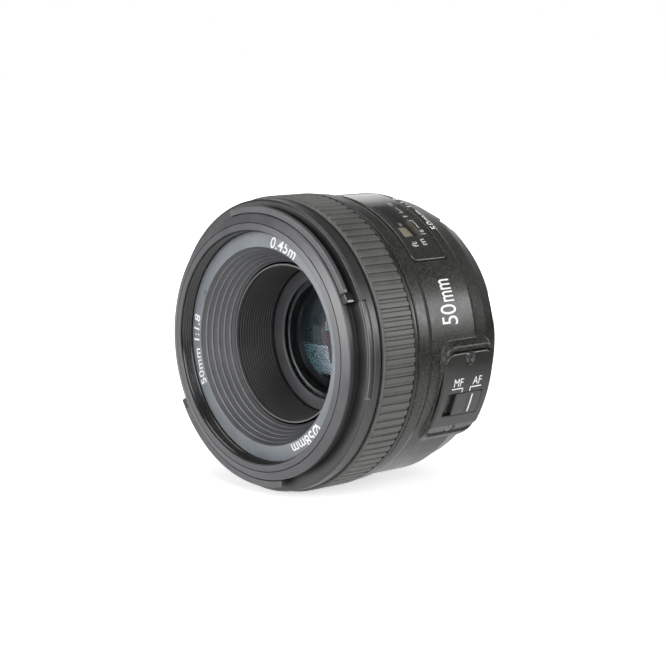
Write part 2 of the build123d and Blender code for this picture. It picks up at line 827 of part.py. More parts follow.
def aperture_lever():
    """Ring inside the guide tube, with the fork for the iris and the arm that the camera pushes."""
    ring = tube(lever_inner, lever_outer, lever_front, lever_rear)
    fork = radial_block(fork_clock, lever_front, lever_rear, fork_width / 2, 0.3,
                        rod_circle - rod_radius - 0.4, lever_inner + 0.5)
    notch = radial_block(fork_clock, lever_front - 1, lever_rear + 1, rod_radius + running_fit, 0.3,
                         rod_circle - rod_radius - 2, rod_circle + rod_radius + 0.3)
    foot = radial_block(arm_clock, lever_front, lever_rear, arm_width / 2, 0.3, arm_inner, lever_inner + 0.5)
    arm = radial_block(arm_clock, lever_front, arm_end, arm_width / 2, 0.3, arm_inner, arm_outer)
    post = rod(post_radius, post_circle, spring_clock, lever_front, post_end)
    return ring + (fork - notch) + foot + arm + post


def lever_retaining_ring():
    start = lever_rear + running_fit
    return tube(guide_inner - lever_retainer_width, guide_inner - seat_fit, start,
                start + lever_retainer_thickness)


def aperture_spring():
    """Coil spring that pulls the lever back: it hangs between the moving post and the fixed post."""
    start = Vector(*spring_end(spring_clock))
    end = Vector(*spring_end(spring_clock + spring_arc))
    along = (end - start).normalized()
    inset = post_radius + spring_wire + 0.6
    length = (end - start).length - 2 * inset
    path = Helix(pitch=spring_pitch, height=length, radius=spring_radius,
                 center=start + along * inset, direction=along)
    section = Plane(origin=path @ 0, z_dir=path % 0)
    coil = sweep(section * Circle(spring_wire), path=path, is_frenet=True)
    return coil


def spring_end(clock):
    u, v = polar(post_circle, clock)
    return u, spring_station, v


# ---- rear of the lens ----
def casing_profile():
    """Outer side of the casing from its front edge to the rear rim."""
    return [(casing_lip_radius, casing_front), (casing_lip_radius, casing_lip_end),
            (casing_radius, casing_step_end), (casing_radius, casing_taper_start),
            (casing_radius - casing_knee_drop, casing_taper_start + casing_knee),
            (casing_waist_radius, casing_waist_station), (casing_rear_radius, casing_rear)]


def rear_casing():
    outer = casing_profile()
    inner_radius = casing_radius - casing_wall
    shell = turned(
        *outer, (frame_wall_outer + seat_fit, casing_rear),
        (frame_wall_outer + seat_fit, casing_rear - casing_end_wall),
        (casing_waist_radius - casing_wall - 0.9, casing_rear - casing_end_wall - 0.6),
        (casing_waist_radius - casing_wall, casing_waist_station),
        (inner_radius, casing_taper_start - 1), (inner_radius, sleeve_end + seat_fit),
        (sleeve_outer + seat_fit, sleeve_end + seat_fit), (sleeve_outer + seat_fit, casing_front))
    boss = radial_block(switch_clock, boss_front, boss_rear, boss_half_height, boss_corner,
                        casing_radius - 3.2, boss_radius + 1, taper=boss_taper)
    inside = turned((0, casing_front), (inner_radius, casing_front), (inner_radius, casing_taper_start - 1),
                    (casing_waist_radius - casing_wall, casing_waist_station), (0, casing_waist_station + 6))
    limit = turned((0, casing_front), (boss_radius, casing_front),
                   (boss_radius, boss_rear - 2.5), (casing_rear_radius + 1, casing_rear), (0, casing_rear))
    shell += (boss & limit) - inside
    shell -= radial_block(switch_clock, plate_front - seat_fit, plate_rear + seat_fit,
                          plate_half_height + seat_fit, plate_corner, plate_inner - 6,
                          boss_radius + 2) - tube(0, plate_inner - seat_fit, 0, casing_rear)
    shell -= radial_block(slot_clock, knob_rear - knob_base_length + 1.6 - knob_travel - part_gap,
                          knob_rear + 1.6 + part_gap, knob_base_height / 2 + part_gap, 0.6,
                          casing_radius - 8, plate_inner)
    for clock in plate_screw_clocks():
        shell -= radial_rod(plate_screw_radius, clock, plate_middle, boss_radius - 4, boss_radius)
    shell -= opening_cutter(casing_radius - 5, casing_radius + 2)
    shell -= window_seat()
    recess = radial_block(roll, index_recess_start, casing_rear + 2, index_recess_width / 2, 0.3,
                          casing_rear_radius - index_recess_depth + 0.2, casing_radius + 2)
    return shell - recess


def opening_cutter(low, high):
    half = casing_radius * sin(radians(opening_half_arc))
    return radial_block(roll, opening_front, opening_rear, half, 0.6, low, high)


def window_seat():
    """Shallow pocket that the window sinks into by a third of its thickness."""
    half = casing_radius * sin(radians(window_half_arc)) + seat_fit
    block = radial_block(roll, window_front - seat_fit, window_rear + seat_fit, half, window_corner,
                         casing_radius - 6, casing_radius + 2)
    return block - tube(0, casing_radius - window_height / 3, 0, casing_rear)


def distance_window():
    half = casing_radius * sin(radians(window_half_arc))
    block = radial_block(roll, window_front, window_rear, half, window_corner,
                         casing_radius - 6, casing_radius + 2)
    low = casing_radius - window_height / 3
    return block & tube(low + 0.01, low + window_height, window_front - 1, window_rear + 1)


def index_dot():
    station = (index_recess_start + casing_rear) / 2
    floor = casing_rear_radius - index_recess_depth + 0.2
    return radial_rod(index_dot_radius, roll, station, floor, floor + 0.3)


def plate_screw_clocks():
    half = degrees(asin(plate_screw_spread / 2 / plate_outer))
    return [switch_clock - half, switch_clock + half]


def switch_plate():
    block = radial_block(switch_clock, plate_front, plate_rear, plate_half_height, plate_corner,
                         plate_inner - 6, plate_outer + 2)
    cover = block & tube(plate_inner, plate_outer, plate_front - 1, plate_rear + 1)
    cover -= radial_block(slot_clock, slot_front, slot_rear, slot_height / 2, 0.8,
                          plate_inner - 3, plate_outer + 2)
    for clock in plate_screw_clocks():
        cover -= radial_rod(plate_screw_radius + seat_fit, clock, plate_middle,
                            plate_inner - 2, plate_outer + 1)
        cover -= radial_rod(plate_screw_head + seat_fit, clock, plate_middle,
                            plate_outer - plate_screw_sink, plate_outer + 1)
    return cover


def screw(clock, station, top, head_radius, head_depth, shank_radius, length):
    """Radial screw with a crossed recess in its head."""
    body = radial_rod(head_radius, clock, station, top - head_depth, top)
    body += radial_rod(shank_radius, clock, station, top - length, top)
    face = radial_plane(clock, station, top - head_depth * 0.6)
    for turn in (45, 135):
        cross = Rot(0, 0, turn) * Rectangle(head_radius * 1.3, head_radius * 0.3)
        body -= extrude(face * cross, amount=head_depth)
    return body


def switch_plate_screws():
    top = plate_outer - 0.2
    return [screw(clock, plate_middle, top, plate_screw_head, plate_screw_sink - 0.2,
                  plate_screw_radius - seat_fit, plate_screw_length) for clock in plate_screw_clocks()]


def switch_knob():
    head = radial_block(slot_clock, knob_rear - knob_length, knob_rear, knob_height / 2, 0.6,
                        plate_inner - 3, plate_outer + 3)
    head &= tube(plate_inner - knob_base_thickness, plate_outer + knob_proud, 0, flange_station)
    base = radial_block(slot_clock, knob_rear - knob_base_length + 1.6, knob_rear + 1.6,
                        knob_base_height / 2, 0.6, plate_inner - 4, plate_inner + 1)
    base &= tube(plate_inner - knob_base_thickness - 0.2, plate_inner - 0.2, 0, flange_station)
    return head + base


def switch_board():
    top = casing_radius - casing_wall - seat_fit
    half = degrees(knob_base_height / 2 / top) + 2
    return sector(top - board_thickness, top, slot_front - 1, casing_taper_start - 1.2,
                  slot_clock - half, slot_clock + half)


def rear_frame():
    """Chassis ring between the guide tube, the casing and the mounting ring."""
    body = tube(guide_outer + seat_fit, frame_outer, frame_disc_front, frame_disc_rear)
    body += tube(frame_wall_outer - frame_wall, frame_wall_outer, frame_disc_rear - 0.1, mount_front)
    for clock in mount_screw_clocks:
        body += rod(mount_screw_radius + boss_wall, mount_screw_circle, clock,
                    frame_disc_rear - 0.1, mount_front)
    for clock in mount_screw_clocks:
        body -= rod(mount_screw_radius, mount_screw_circle, clock, frame_disc_front - 1, mount_front + 1)
    for clock in frame_screw_clocks:
        body -= rod(frame_screw_radius, frame_screw_circle, clock, frame_disc_front - 1, frame_disc_rear + 1)
    post_clock = spring_clock + spring_arc
    foot_span = (post_clock - spring_foot_arc / 2, post_clock + spring_foot_arc / 2)
    foot_rear = frame_disc_rear + spring_foot_thickness
    foot = sector(post_circle - 1.2, guide_outer + 2, guide_end + part_gap, foot_rear, *foot_span)
    foot += sector(guide_outer + seat_fit, guide_outer + 2, frame_disc_front, foot_rear, *foot_span)
    post = rod(post_radius, post_circle, post_clock, spring_station - spring_radius, foot_rear)
    return body + foot + post


def frame_screws():
    screws = []
    for clock in frame_screw_clocks:
        top = frame_disc_rear + frame_screw_head_depth
        body = rod(frame_screw_head, frame_screw_circle, clock, frame_disc_rear, top)
        body += rod(frame_screw_radius, frame_screw_circle, clock, top - frame_screw_length, top)
        screws.append(body)
    return screws


def mount_ring():
    """Flange ring, bayonet tube and three lugs."""
    ring = tube(bayonet_inner, mount_radius, mount_front, flange_station)
    ring += tube(bayonet_inner, bayonet_outer, flange_station - 0.1, bayonet_end)
    lug_start = flange_station + lug_front
    for lug in range(lug_count):
        middle = roll + 360 / lug_count * lug
        ring += sector(bayonet_outer - 0.5, lug_radius, lug_start, lug_start + lug_thickness,
                       middle - lug_arc / 2, middle + lug_arc / 2)
    for clock in mount_screw_clocks:
        ring -= rod(mount_screw_radius + seat_fit, mount_screw_circle, clock, mount_front - 1, bayonet_end)
        ring -= rod(mount_screw_head + seat_fit, mount_screw_circle, clock,
                    flange_station - mount_screw_head_depth - 0.1, bayonet_end)
    return ring


def mount_screws():
    screws = []
    top = flange_station - 0.1
    for clock in mount_screw_clocks:
        body = rod(mount_screw_head, mount_screw_circle, clock, top - mount_screw_head_depth, top)
        body += rod(mount_screw_radius - seat_fit, mount_screw_circle, clock, top - mount_screw_length, top)
        centre = Pos(*polar(mount_screw_circle, clock))
        for turn in (0, 90):
            cross = centre * Rot(0, 0, turn) * Rectangle(mount_screw_head * 1.3, mount_screw_head * 0.3)
            body -= plate(cross, top - mount_screw_head_depth * 0.6, top + 1)
        screws.append(body)
    return screws


def rear_baffle():
    rear = rear_baffle_front + rear_baffle_thickness
    slot = lever_slot(arm_inner - part_gap, arm_outer + part_gap, arm_clock, arm_width / 2,
                      rear_baffle_front - 1, rear + 1)
    return tube(rear_baffle_inner, bayonet_inner - seat_fit, rear_baffle_front, rear) - slot


def contact_clocks():
    first = roll - contact_pitch * (contact_count - 1) / 2
    return [first + contact_pitch * contact for contact in range(contact_count)]


def contact_block():
    start = rear_baffle_front + rear_baffle_thickness
    clocks = contact_clocks()
    block = sector(contact_block_inner, bayonet_inner - seat_fit, start, start + contact_block_depth,
                   clocks[0] - contact_pitch, clocks[-1] + contact_pitch)
    for clock in clocks:
        block -= rod(contact_radius, contact_circle, clock, start + 0.4, start + contact_block_depth + 1)
    return block


def contact_pins():
    start = rear_baffle_front + rear_baffle_thickness + 0.4
    end = start - 0.4 + contact_block_depth + contact_proud
    return [rod(contact_radius, contact_circle, clock, start, end) for clock in contact_clocks()]


def circuit_board():
    start = frame_disc_rear + seat_fit
    outer = frame_wall_outer - frame_wall - seat_fit
    board = sector(circuit_inner, outer, start, start + circuit_thickness,
                   roll - circuit_arc / 2, roll + circuit_arc / 2)
    for clock in mount_screw_clocks:
        board -= rod(mount_screw_radius + boss_wall + part_gap, mount_screw_circle, clock,
                     start - 1, start + 3)
    for clock in frame_screw_clocks:
        board -= rod(frame_screw_head + part_gap, frame_screw_circle, clock, start - 1, start + 3)
    return board


def circuit_chips():
    start = frame_disc_rear + seat_fit + circuit_thickness
    chips = []
    for order, (width, height) in enumerate(chip_sizes):
        chip = Pos(0, circuit_inner + 0.6 + height / 2) * Rectangle(width, height)
        chips.append(at_clock(plate(chip, start, start + chip_height), roll + chip_spacing * (order - 1)))
    return chips


# ---- focus drive ----
def focus_motor():
    clock = motor_clock + pinion_offset
    body = rod(motor_radius, idler_circle, clock, motor_front, motor_front + motor_length)
    return body + rod(motor_shaft_radius, idler_circle, clock, drive_front - 0.2, motor_front + 1)


def motor_pinion():
    outline = gear_outline(drive_module, pinion_teeth) - Circle(motor_shaft_radius + running_fit)
    clock = motor_clock + pinion_offset
    gap_toward_idler = 90 - (motor_clock + pinion_offset / 2) + 180 / pinion_teeth
    return plate(Pos(*polar(idler_circle, clock)) * Rot(0, 0, gap_toward_idler) * outline,
                 drive_front, drive_front + gear_width)


def idler_gear():
    """Compound gear: the small one meets the cam ring, the big one meets the motor pinion."""
    bore = Circle(idler_pin_radius + running_fit)
    centre = Pos(*polar(idler_circle, motor_clock))
    gap_toward_ring = 180 - motor_clock + 180 / idler_small_teeth
    tooth_toward_pinion = -90 - (motor_clock + pinion_offset / 2)
    small = centre * (Rot(0, 0, gap_toward_ring) * gear_outline(ring_gear_module, idler_small_teeth) - bore)
    big = centre * (Rot(0, 0, tooth_toward_pinion) * gear_outline(drive_module, idler_big_teeth) - bore)
    hub = centre * (Circle(ring_gear_module * idler_small_teeth / 2 - 1.3 * ring_gear_module) - bore)
    small_front = cam_rear - ring_gear_width + 0.2
    small_rear = cam_rear - 0.2
    gear = plate(small, small_front, small_rear)
    gear += plate(hub, small_front, drive_front + gear_width)
    gear += plate(big, drive_front, drive_front + gear_width)
    return gear


def motor_bracket():
    inner = guide_outer + seat_fit
    start = motor_clock - bracket_half_arc * 0.55
    body = sector(inner, bracket_outer, bracket_front, motor_front, start, start + 2 * bracket_half_arc)
    body -= rod(motor_shaft_radius + seat_fit, idler_circle, motor_clock + pinion_offset,
                bracket_front - 1, motor_front + 1)
    pin_front = cam_rear - ring_gear_width - part_gap
    return body + rod(idler_pin_radius, idler_circle, motor_clock, pin_front, motor_front)


def main_pieces():
    """Every piece that has a node of its own, by name."""
    pieces = {
        "front_ring": front_ring, "front_barrel": front_barrel, "name_ring": name_ring,
        "front_baffle": front_baffle, "focus_ring": focus_ring, "focus_grip": focus_grip,
        "focus_key": focus_key, "focus_key_screws": focus_key_screws, "cam_ring": cam_ring,
        "distance_scale": distance_scale, "guide_tube": guide_tube, "guide_rollers": guide_rollers,
        "inner_barrel": inner_barrel, "front_cell": front_cell,
        "front_retaining_ring": front_retaining_ring, "rear_cell": rear_cell,
        "rear_retaining_ring": rear_retaining_ring, "iris_base": iris_base, "iris_ring": iris_ring,
        "iris_cover": iris_cover, "aperture_lever": aperture_lever,
        "lever_retaining_ring": lever_retaining_ring, "aperture_spring": aperture_spring,
        "rear_casing": rear_casing, "distance_window": distance_window, "index_dot": index_dot,
        "switch_plate": switch_plate, "switch_plate_screws": switch_plate_screws,
        "switch_knob": switch_knob, "switch_board": switch_board, "rear_frame": rear_frame,
        "frame_screws": frame_screws, "mount_ring": mount_ring, "mount_screws": mount_screws,
        "rear_baffle": rear_baffle, "contact_block": contact_block, "contact_pins": contact_pins,
        "circuit_board": circuit_board, "circuit_chips": circuit_chips, "focus_motor": focus_motor,
        "motor_pinion": motor_pinion, "idler_gear": idler_gear, "motor_bracket": motor_bracket,
    }
    return {name: make() for name, make in pieces.items()}


for name, piece in main_pieces().items():
    save(name, piece)
for name, values in lens_shapes.items():
    save(name, lens_element(*values))
for order in range(blade_count):
    save(f"iris_blade_{order + 1}", iris_blade(order))
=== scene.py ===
import json

import bmesh
import bpy
import numpy as np
from mathutils import Matrix, Vector


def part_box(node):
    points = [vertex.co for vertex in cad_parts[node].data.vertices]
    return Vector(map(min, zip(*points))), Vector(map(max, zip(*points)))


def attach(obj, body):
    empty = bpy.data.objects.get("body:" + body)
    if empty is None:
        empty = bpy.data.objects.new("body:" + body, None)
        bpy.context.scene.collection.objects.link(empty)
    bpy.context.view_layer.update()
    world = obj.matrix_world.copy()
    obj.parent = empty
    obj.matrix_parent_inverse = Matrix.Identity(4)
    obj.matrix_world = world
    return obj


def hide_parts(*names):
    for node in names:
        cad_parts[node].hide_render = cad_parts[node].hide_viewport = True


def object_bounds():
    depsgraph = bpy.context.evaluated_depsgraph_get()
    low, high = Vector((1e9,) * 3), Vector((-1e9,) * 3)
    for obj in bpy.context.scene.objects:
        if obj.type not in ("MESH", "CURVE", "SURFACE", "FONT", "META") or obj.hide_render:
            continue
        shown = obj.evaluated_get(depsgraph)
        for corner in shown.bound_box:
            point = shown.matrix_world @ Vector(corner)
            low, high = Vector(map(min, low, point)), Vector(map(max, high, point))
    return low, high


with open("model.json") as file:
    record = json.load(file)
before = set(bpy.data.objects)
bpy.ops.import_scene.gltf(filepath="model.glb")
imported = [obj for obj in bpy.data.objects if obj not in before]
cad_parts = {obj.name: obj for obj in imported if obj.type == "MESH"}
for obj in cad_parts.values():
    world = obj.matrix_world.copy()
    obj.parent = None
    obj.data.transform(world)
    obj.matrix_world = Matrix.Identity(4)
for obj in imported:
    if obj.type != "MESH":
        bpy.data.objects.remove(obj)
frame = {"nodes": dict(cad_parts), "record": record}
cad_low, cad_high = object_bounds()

# A 50 mm autofocus lens for a single-lens reflex, lying on its side. Sizes in this script are in
# millimetres. A station is a distance behind the front edge, and a clock angle is seen from the
# front: 0 points up, 90 points to +X. The mark on the lens's own top lies at clock 28.5.


# ---- camera ----
# A short telephoto stands half a metre away, in front and to the right, a little above the lens.
mm = 0.001
front_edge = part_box("front_ring")[0].y
azimuth, elevation, distance = 47.0, 8.4, 510.0


def around(radius, clock, station):
    """Points about the lens axis: x = radius sin(clock), z = radius cos(clock), y = station."""
    radius, turn, station = np.broadcast_arrays(radius, np.radians(clock), station)
    return np.stack([radius * np.sin(turn) * mm, front_edge + station * mm,
                     radius * np.cos(turn) * mm], axis=-1)


def placed(name, data):
    """A new object of the scene that holds this data."""
    made = bpy.data.objects.new(name, data)
    bpy.context.scene.collection.objects.link(made)
    return made


target = Vector(around(1.27, -45.0, 27.3))
turn, rise = np.radians(azimuth), np.radians(elevation)
toward_camera = Vector((np.sin(turn) * np.cos(rise), -np.cos(turn) * np.cos(rise), np.sin(rise)))
lens_data = bpy.data.cameras.new("camera")
lens_data.lens = 108.1
lens_data.sensor_width = 36.0
camera = placed("camera", lens_data)
camera.location = target + toward_camera * distance * mm
camera.rotation_euler = (-toward_camera).to_track_quat("-Z", "Y").to_euler()
bpy.context.scene.camera = camera


# ---- front ring ----
# The front ring is one moulding of glass-filled polycarbonate with a fine matt spark finish. It
# carries the filter thread inside, the face of two flat bands, the hood groove and the satin band.
mouth_radius, face_radius, shoulder_radius, hood_groove_radius = 29.0, 30.9, 33.0, 32.2
band_front, band_rear, band_radius, band_inner = 4.4, 8.2, 36.3, 33.73
key_arc, key_width, key_depth = (66.0, 104.0), 1.7, 0.35
line_depth, line_width = 0.45, 0.24
thread_pitch, thread_depth, thread_turns = 0.75, 0.4, 4
disc_front = 4.8


def rounded(corners, radius, closed=True, steps=4):
    """Outline with each corner replaced by a parabola that starts and ends at the radius from it.

    Point s of a corner C between A and B is (1-s)^2 A + 2 s (1-s) C + s^2 B. One more point a
    little outside each end keeps the flats beside it flat in the shading.
    """
    corners = np.array(corners, float)
    sides = np.stack([np.roll(corners, 1, axis=0), np.roll(corners, -1, axis=0)]) - corners
    length = np.linalg.norm(sides, axis=2, keepdims=True)
    radius = np.broadcast_to(np.asarray(radius, float), len(corners))[:, None]
    reach = sides / length * np.minimum(radius, 0.4 * length.min(axis=0))
    start, end = corners + reach
    s = np.linspace(0, 1, steps + 1)[None, :, None]
    curve = (1 - s) ** 2 * start[:, None] + 2 * s * (1 - s) * corners[:, None] + s ** 2 * end[:, None]
    before, after = corners + reach * 1.2
    outline = np.concatenate([before[:, None], curve, after[:, None]], axis=1)
    if closed:
        return outline.reshape(-1, 2)
    return np.concatenate([corners[:1], outline[1:-1].reshape(-1, 2), corners[-1:]])


def quads(rows, columns, wrap_rows=False, wrap_columns=True, keep=None):
    """Corner numbers of the faces between the neighbouring points of a grid."""
    index = np.arange(rows * columns).reshape(rows, columns)
    if wrap_rows:
        index = np.vstack([index, index[:1]])
    if wrap_columns:
        index = np.hstack([index, index[:, :1]])
    corners = np.stack([index[:-1, :-1], index[1:, :-1], index[1:, 1:], index[:-1, 1:]], axis=-1)
    return corners.reshape(-1, 4) if keep is None else corners[keep]


def build(name, points, faces, material, body, slot, *replaced):
    """One piece of the lens from its points and faces, its doubles merged and its faces outwards."""
    mesh = bpy.data.meshes.new(name)
    mesh.from_pydata(np.reshape(points, (-1, 3)).tolist(), [], np.asarray(faces).tolist())
    work = bmesh.new()
    work.from_mesh(mesh)
    bmesh.ops.remove_doubles(work, verts=work.verts, dist=2e-7)
    bmesh.ops.recalc_face_normals(work, faces=work.faces)
    work.to_mesh(mesh)
    work.free()
    mesh.shade_smooth()
    mesh.materials.append(material)
    made = placed(name, mesh)
    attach(made, body)
    if replaced:
        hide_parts(*replaced)
    return made


def colour(code):
    """Linear colour of an sRGB hex value: c / 12.92 when c is small, else ((c + 0.055) / 1.055)^2.4."""
    channels = np.array([int(code[at:at + 2], 16) for at in (1, 3, 5)]) / 255
    linear = np.where(channels < 0.04045, channels / 12.92, ((channels + 0.055) / 1.055) ** 2.4)
    return (*linear, 1.0)


def blank(collection, name):
    """A new material or world with an empty node tree, and that tree."""
    made = collection.new(name)
    made.use_nodes = True
    made.node_tree.nodes.clear()
    return made, made.node_tree


def add(tree, kind, sockets=(), **settings):
    """One more shader node, with its settings and its inputs.

    An input takes a value, an output of another node, or a node, which stands for its first output.
    """
    made = tree.nodes.new("ShaderNode" + kind)
    for name, value in settings.items():
        setattr(made, name, value)
    for name, value in dict(sockets).items():
        if isinstance(value, bpy.types.Node):
            value = value.outputs[0]
        if isinstance(value, bpy.types.NodeSocket):
            tree.links.new(value, made.inputs[name])
        else:
            made.inputs[name].default_value = value
    return made


def noise(tree, size, detail=2.0):
    """Noise fixed to the piece, with grains of this size in millimetres."""
    place = add(tree, "TexCoord").outputs["Object"]
    return add(tree, "TexNoise", {"Vector": place, "Scale": 1 / (size * mm), "Detail": detail})


def ramp(tree, value, span, reach=(0.0, 1.0), kind="LINEAR"):
    """Runs over the reach while the value runs over the span."""
    return add(tree, "MapRange", {"Value": value, "From Min": span[0], "From Max": span[1],
                                  "To Min": reach[0], "To Max": reach[1]}, interpolation_type=kind)


def surface(name, dark, light, rough, grain=0.2, relief=0.002, metallic=0.0, specular=0.5,
            soften=0.14, patchy=True):
    """Opaque material with a fine grain of this size and relief in millimetres.

    Its tone runs between two colours by the grain, and where it is patchy also by a softer mottling
    some millimetres across. Its roughness runs between two values by that mottling.
    """
    mottle = 6.0
    made, tree = blank(bpy.data.materials, name)
    fine, soft = noise(tree, grain), noise(tree, mottle, 3.0)
    blend = add(tree, "Math", {0: fine, 1: soft if patchy else 0.5}, operation="MULTIPLY")
    tone = ramp(tree, blend, (0.25 - soften, 0.25 + soften))
    base = add(tree, "Mix", {"Factor": tone, "A": colour(dark), "B": colour(light)}, data_type="RGBA")
    bump = add(tree, "Bump", {"Height": fine, "Distance": relief * mm, "Strength": 1.0})
    body = add(tree, "BsdfPrincipled", {
        "Base Color": base.outputs["Result"], "Roughness": ramp(tree, soft, (0.3, 0.7), rough),
        "Metallic": metallic, "Specular IOR Level": specular, "Normal": bump})
    add(tree, "OutputMaterial", {"Surface": body})
    return made


def refinish(made, material, chosen, arc=(-180.0, 180.0)):
    """Gives another finish to the faces in an arc whose radius r and station y chosen(r, y) accepts."""
    slot_number = len(made.data.materials)
    made.data.materials.append(material)
    centres = np.empty(len(made.data.polygons) * 3)
    made.data.polygons.foreach_get("center", centres)
    centres = centres.reshape(-1, 3)
    radius, station = np.hypot(centres[:, 0], centres[:, 2]) / mm, (centres[:, 1] - front_edge) / mm
    clock = np.degrees(np.arctan2(centres[:, 0], centres[:, 2]))
    picked = chosen(radius, station) & (clock >= arc[0]) & (clock <= arc[1])
    numbers = np.empty(len(centres), np.int32)
    made.data.polygons.foreach_get("material_index", numbers)
    made.data.polygons.foreach_set("material_index", np.where(picked, slot_number, numbers))


def lathe(name, outline, material, body, slot, *replaced, count=240, closed=True):
    """Piece turned about the lens axis from an outline of radius and station."""
    outline = np.asarray(outline, float)
    clocks = np.linspace(0, 360, count, endpoint=False)
    points = around(outline[:, None, 0], clocks[None], outline[:, None, 1])
    faces = quads(len(outline), count, wrap_rows=closed)
    return build(name, points, faces, material, body, slot, *replaced)


bezel_plastic = surface(
    "satin_spark_finished_polycarbonate", "#1a1a1b", "#262627", (0.36, 0.46), grain=0.16, relief=0.004,
    specular=0.9)
# The front faces and the hood tabs get a lighter grey than the band: a matt finish, partly painted sheen
# from the front light.
matt_face_painted_sheen = surface(
    "matt_polycarbonate_with_painted_sheen", "#3a3a3d", "#49494c", (0.32, 0.42), grain=0.14, relief=0.004,
    specular=0.9)
thread_plastic = surface(
    "bare_glossy_polycarbonate", "#0c0c0c", "#161616", (0.16, 0.24), grain=0.3, relief=0.001, specular=0.9)
# Painted highlight: a light grey laid along the band's rear edge and the key step's edges.
edge_painted_highlight = surface(
    "polycarbonate_edge_painted_highlight", "#58585a", "#68686a", (0.3, 0.4), relief=0.001, specular=0.9)


def front_ring_outline(key):
    """Closed outline of the front ring; with the key, the band's front edge steps down and back."""
    half_turn = np.arange(2 * thread_turns)
    crests = np.stack([mouth_radius - thread_depth * (half_turn % 2),
                       thread_pitch * (1 + half_turn / 2)], axis=-1)[::-1]
    thread = rounded(crests, 0.06, closed=False, steps=2)
    cut, width = (key_depth, key_width) if key else (0.02, 0.5)
    low = band_radius - cut
    ring = [(mouth_radius, 0.32), (mouth_radius + 0.15, 0.0), (face_radius - line_width, 0.25),
            (face_radius - line_width / 2, 0.25 + line_depth), (face_radius, 0.28),
            (shoulder_radius - 0.25, 1.1), (shoulder_radius, 1.35), (shoulder_radius, 2.6),
            (hood_groove_radius, 2.6), (hood_groove_radius, band_front),
            (low - 0.45, band_front), (low, band_front + 0.45), (low, band_front + width),
            (band_radius, band_front + width + 0.06), (band_radius, band_rear - 0.2),
            (band_radius - 0.2, band_rear), (band_inner, band_rear), (band_inner, disc_front),
            (mouth_radius, disc_front)]
    radius = [0.08, 0.1, 0.03, 0.03, 0.08, 0.12, 0.1, 0.06, 0.1, 0.1, 0.14, 0.2, 0.04, 0.04, 0.08,
              0.08, 0.1, 0.1, 0.1]
    return np.concatenate([rounded(ring, radius, steps=3), thread])


plain, keyed = front_ring_outline(False), front_ring_outline(True)
key_edges = [end + side * 0.15 for end in key_arc for side in (-1, 1)]
clocks = np.unique(np.concatenate([np.linspace(0, 360, 300, endpoint=False), key_edges]))
in_key = ((clocks > key_arc[0]) & (clocks < key_arc[1]))[None, :, None]
outline = np.where(in_key, keyed[:, None], plain[:, None])
bezel = build("bezel", around(outline[..., 0], clocks[None], outline[..., 1]),
              quads(len(plain), len(clocks), wrap_rows=True), bezel_plastic, "barrel", "bezel_plastic",
              "front_ring")
# The face in front of the shoulder takes that lighter grey, partly painted sheen.
refinish(bezel, matt_face_painted_sheen, lambda r, y: (y < 1.36) & (r > mouth_radius + 0.02))
refinish(bezel, thread_plastic, lambda r, y: r < mouth_radius + 0.02)
# Painted highlight along the band's rear edge and along the key step's edges.
refinish(bezel, edge_painted_highlight, lambda r, y: (
    (r > band_radius - 0.22) & (y > band_rear - 0.18)
    | (r > band_radius - 0.1) & (np.abs(y - band_front - key_width - 0.03) < 0.06)
    | (r > band_radius - key_depth - 0.12) & (np.abs(y - band_front - 0.405) < 0.075)))


# ---- hood tabs ----
# Two raised arcs outside the face hold a lens hood, and each ends in a square stop block. They are
# part of the same moulding, with a fine line where the mould's inserts meet.
tab_inner, tab_outer, tab_front, tab_rear, stop_arc = 32.6, 34.8, 1.4, 2.6, 4.2
tab_arcs = [(-18.0, 66.0), (166.0, 240.5)]


def arc_bar(outline, start, end, edge=0.12):
    """Points and faces of a bar along an arc, its ends rounded by shrinking the outline there."""
    outline = np.asarray(outline, float)
    middle = outline.mean(axis=0)
    edge_turn = np.degrees(edge / middle[0])
    inner = np.linspace(start + edge_turn, end - edge_turn, max(4, int((end - start) / 1.5)))
    clocks = np.concatenate([[start, start, start + edge_turn * 0.3], inner,
                             [end - edge_turn * 0.3, end, end]])
    size = np.ptp(outline, axis=0).min() / 2
    shrink = np.ones(len(clocks))
    shrink[[0, -1]] = 0.0
    shrink[[1, -2]] = 1 - edge / size
    shrink[[2, -3]] = 1 - 0.3 * edge / size
    shape = middle + (outline[:, None] - middle) * shrink[None, :, None]
    points = around(shape[..., 0], clocks[None], shape[..., 1])
    return points.reshape(-1, 3), quads(len(outline), len(clocks), wrap_rows=True, wrap_columns=False)


def joined(parts):
    """Several (points, faces) pairs as one."""
    points, faces, shift = [], [], 0
    for part_points, part_faces in parts:
        points.append(np.reshape(part_points, (-1, 3)))
        faces.append(np.asarray(part_faces) + shift)
        shift += len(points[-1])
    return np.concatenate(points), np.concatenate(faces)


def tab_outline(foot, rear, rounding):
    """Outline of a raised bar on the shoulder, from its foot out to the tabs' outer radius."""
    seat, step = tab_rear - 0.3, shoulder_radius + 0.18
    return rounded([(foot, seat), (step, seat), (step + 0.02, tab_front), (tab_outer, tab_front),
                    (tab_outer, rear), (foot, rear)], [0.05, 0.05, 0.12, *rounding])


tab = tab_outline(tab_inner, tab_rear, (0.2, 0.15, 0.1))
stop = tab_outline(hood_groove_radius - 0.3, band_front + 0.1, (0.25, 0.1, 0.1))
# The hood tabs take the face's lighter grey, partly painted sheen.
build("hood_tabs", *joined([arc_bar(tab, start, end - stop_arc) for start, end in tab_arcs]),
      matt_face_painted_sheen, "barrel", "bezel_plastic")
build("hood_stops", *joined([arc_bar(stop, end - stop_arc, end) for start, end in tab_arcs]),
      thread_plastic, "barrel", "bezel_plastic")


